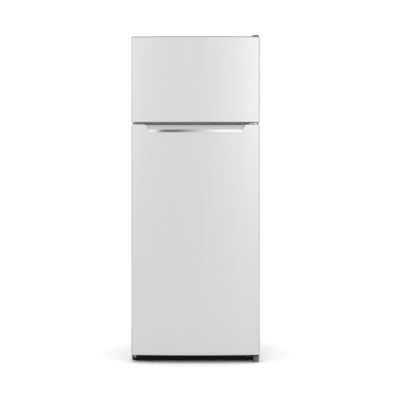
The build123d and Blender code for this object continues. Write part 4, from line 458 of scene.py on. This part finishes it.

# ---- Hinges, feet and rollers
# Plated steel straps carry the doors, and a dark grey plastic cover hides the top one. The bottom
# hinge's screws, low at the right, are black like the hinge, and the other screws are plated. The
# right front foot is a plated screw foot with a knurled collar, coloured dark as painted shade
# under the door.
plated_steel = Finish("plated steel", {"Metallic": 1.0})
scuffs = plated_steel.noise(120, 4, (1, 1, 0.2))
plated_steel.feed("Base Color", scuffs.blend((0.52, 0.52, 0.52), (0.68, 0.68, 0.69)))
plated_steel.feed("Roughness", 0.3 + 0.2 * scuffs)
plated_steel.wear("top_hinge", "middle_hinge")

BLACK_SCREWS_TOP = 0.04
BLACK_SCREWS_SLOPE = 0.2
screw_steel = Finish("plated screws", {})
scuffs = screw_steel.noise(160, 3)
height = screw_steel.along("Z") - BLACK_SCREWS_SLOPE * screw_steel.along("X")
bare = height.maths("GREATER_THAN", height, BLACK_SCREWS_TOP)
worn = bare * (0.6 + 0.4 * scuffs)
screw_steel.feed("Base Color", worn.blend((0.008, 0.008, 0.008), (0.27, 0.27, 0.27)))
screw_steel.feed("Metallic", bare)
screw_steel.feed("Roughness", 0.3 + 0.2 * scuffs)
screw_steel.wear("hinge_screws")

# Painted shade: the right foot's plating is given a dark colour for the shade it stands in under
# the door.
foot_steel_painted_shade = Finish("plated steel darkened as painted shade", {"Metallic": 0.85})
knurl = foot_steel_painted_shade.noise(260, 3)
foot_steel_painted_shade.feed("Base Color", knurl.blend((0.12, 0.12, 0.12), (0.21, 0.21, 0.21)))
foot_steel_painted_shade.feed("Roughness", 0.42 + 0.18 * knurl)
foot_steel_painted_shade.wear("right_foot")

cover_plastic = Finish("dark grey plastic", {})
stipple = cover_plastic.noise(1200, 2)
cover_plastic.feed("Base Color", stipple.blend((0.075, 0.077, 0.080), (0.105, 0.107, 0.110)))
cover_plastic.feed("Roughness", 0.42 + 0.14 * stipple)
cover_plastic.bump(stipple, 0.0001)
cover_plastic.wear("top_hinge_cover")

# ---- Doors
# Each door is a bowed steel front with a silver finish, brushed up and down and clear coated,
# between two grey plastic end mouldings. Its colour is darkened along the folded side edges as a
# painted reflection of dark surroundings. A soft grey magnetic seal runs round the inner face.
silver_steel = Finish(
    "brushed silver steel with painted edge reflection", {"Metallic": 0.6, "Coat Weight": 0.15, "Coat Roughness": 0.3}
)
fine_brush = silver_steel.noise(1600, 2, (1, 1, 0.012))
broad_brush = silver_steel.noise(210, 2, (1, 1, 0.01))
brush = 0.6 * fine_brush + 0.4 * broad_brush
# Painted reflection: the colour darkens over the last few millimetres of each side edge, standing
# in for the dark surroundings that the fold mirrors.
FOLD_START = 0.006
FOLD_END = 0.002
PAINTED_EDGE_REFLECTION_DARKNESS = 0.32
door_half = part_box("freezer_door_skin")[1].x
from_middle = silver_steel.wire.maths("ABSOLUTE", silver_steel.along("X"), 0)
painted_edge_reflection = from_middle.ramp([(door_half - FOLD_START, 0), (door_half - FOLD_END, 1)])
silver_with_painted_edge_reflection = (0.84 + 0.16 * brush) * (1 - PAINTED_EDGE_REFLECTION_DARKNESS * painted_edge_reflection)
silver_steel.feed("Base Color", silver_with_painted_edge_reflection.blend((0, 0, 0), (0.605, 0.605, 0.602)))
silver_steel.feed("Roughness", 0.36 + 0.14 * brush)
silver_steel.bump(brush, 0.00003)
silver_steel.wear("freezer_door_skin", "fridge_door_skin")

grey_moulding = Finish("silver grey plastic", {"Coat Weight": 0.05})
stipple = grey_moulding.noise(1100, 2)
grey_moulding.feed("Base Color", stipple.blend((0.44, 0.445, 0.45), (0.50, 0.505, 0.51)))
grey_moulding.feed("Roughness", 0.40 + 0.12 * stipple)
grey_moulding.bump(stipple, 0.00008)
grey_moulding.wear("freezer_door_bottom_cap", "fridge_door_bottom_cap")

# Painted shade: a darker copy of the grey end-cap plastic for the freezer door's top cap, against
# the light that falls on its top.
cap_plastic_darkened_as_painted_shade = Finish("grey cap plastic darkened as painted shade", {"Specular IOR Level": 0.3})
stipple = cap_plastic_darkened_as_painted_shade.noise(1100, 2)
cap_plastic_darkened_as_painted_shade.feed("Base Color", stipple.blend((0.23, 0.232, 0.235), (0.30, 0.302, 0.305)))
cap_plastic_darkened_as_painted_shade.feed("Roughness", 0.45 + 0.12 * stipple)
cap_plastic_darkened_as_painted_shade.bump(stipple, 0.00008)
cap_plastic_darkened_as_painted_shade.wear("freezer_door_top_cap")

# Painted light: a lighter copy of the grey end-cap plastic for the fridge door's top cap, whose
# handle pocket sits in shade.
cap_plastic_lightened_as_painted_light = Finish("grey cap plastic lightened as painted light", {"Coat Weight": 0.05})
stipple = cap_plastic_lightened_as_painted_light.noise(1100, 2)
cap_plastic_lightened_as_painted_light.feed("Base Color", stipple.blend((0.64, 0.645, 0.65), (0.72, 0.725, 0.73)))
cap_plastic_lightened_as_painted_light.feed("Roughness", 0.40 + 0.12 * stipple)
cap_plastic_lightened_as_painted_light.bump(stipple, 0.00008)
cap_plastic_lightened_as_painted_light.wear("fridge_door_top_cap")

polished = Finish(
    "polished bright strip", {"Metallic": 1.0, "Coat Weight": 0.2, "Coat Roughness": 0.03}
)
haze = polished.noise(300, 2, (0.1, 1, 1))
polished.feed("Base Color", haze.blend((0.84, 0.85, 0.86), (0.90, 0.91, 0.92)))
polished.feed("Roughness", 0.06 + 0.06 * haze)
polished.wear("handle_trim")

seal_rubber = Finish("soft grey seal", {"Specular IOR Level": 0.3})
grain = seal_rubber.noise(1400, 2)
seal_rubber.feed("Base Color", grain.blend((0.42, 0.425, 0.43), (0.50, 0.505, 0.51)))
seal_rubber.feed("Roughness", 0.6 + 0.2 * grain)
seal_rubber.bump(grain, 0.00008)
seal_rubber.wear("freezer_door_gasket", "fridge_door_gasket")

clear_plastic.wear("freezer_door_bins", "fridge_door_bins", "bottle_bin")
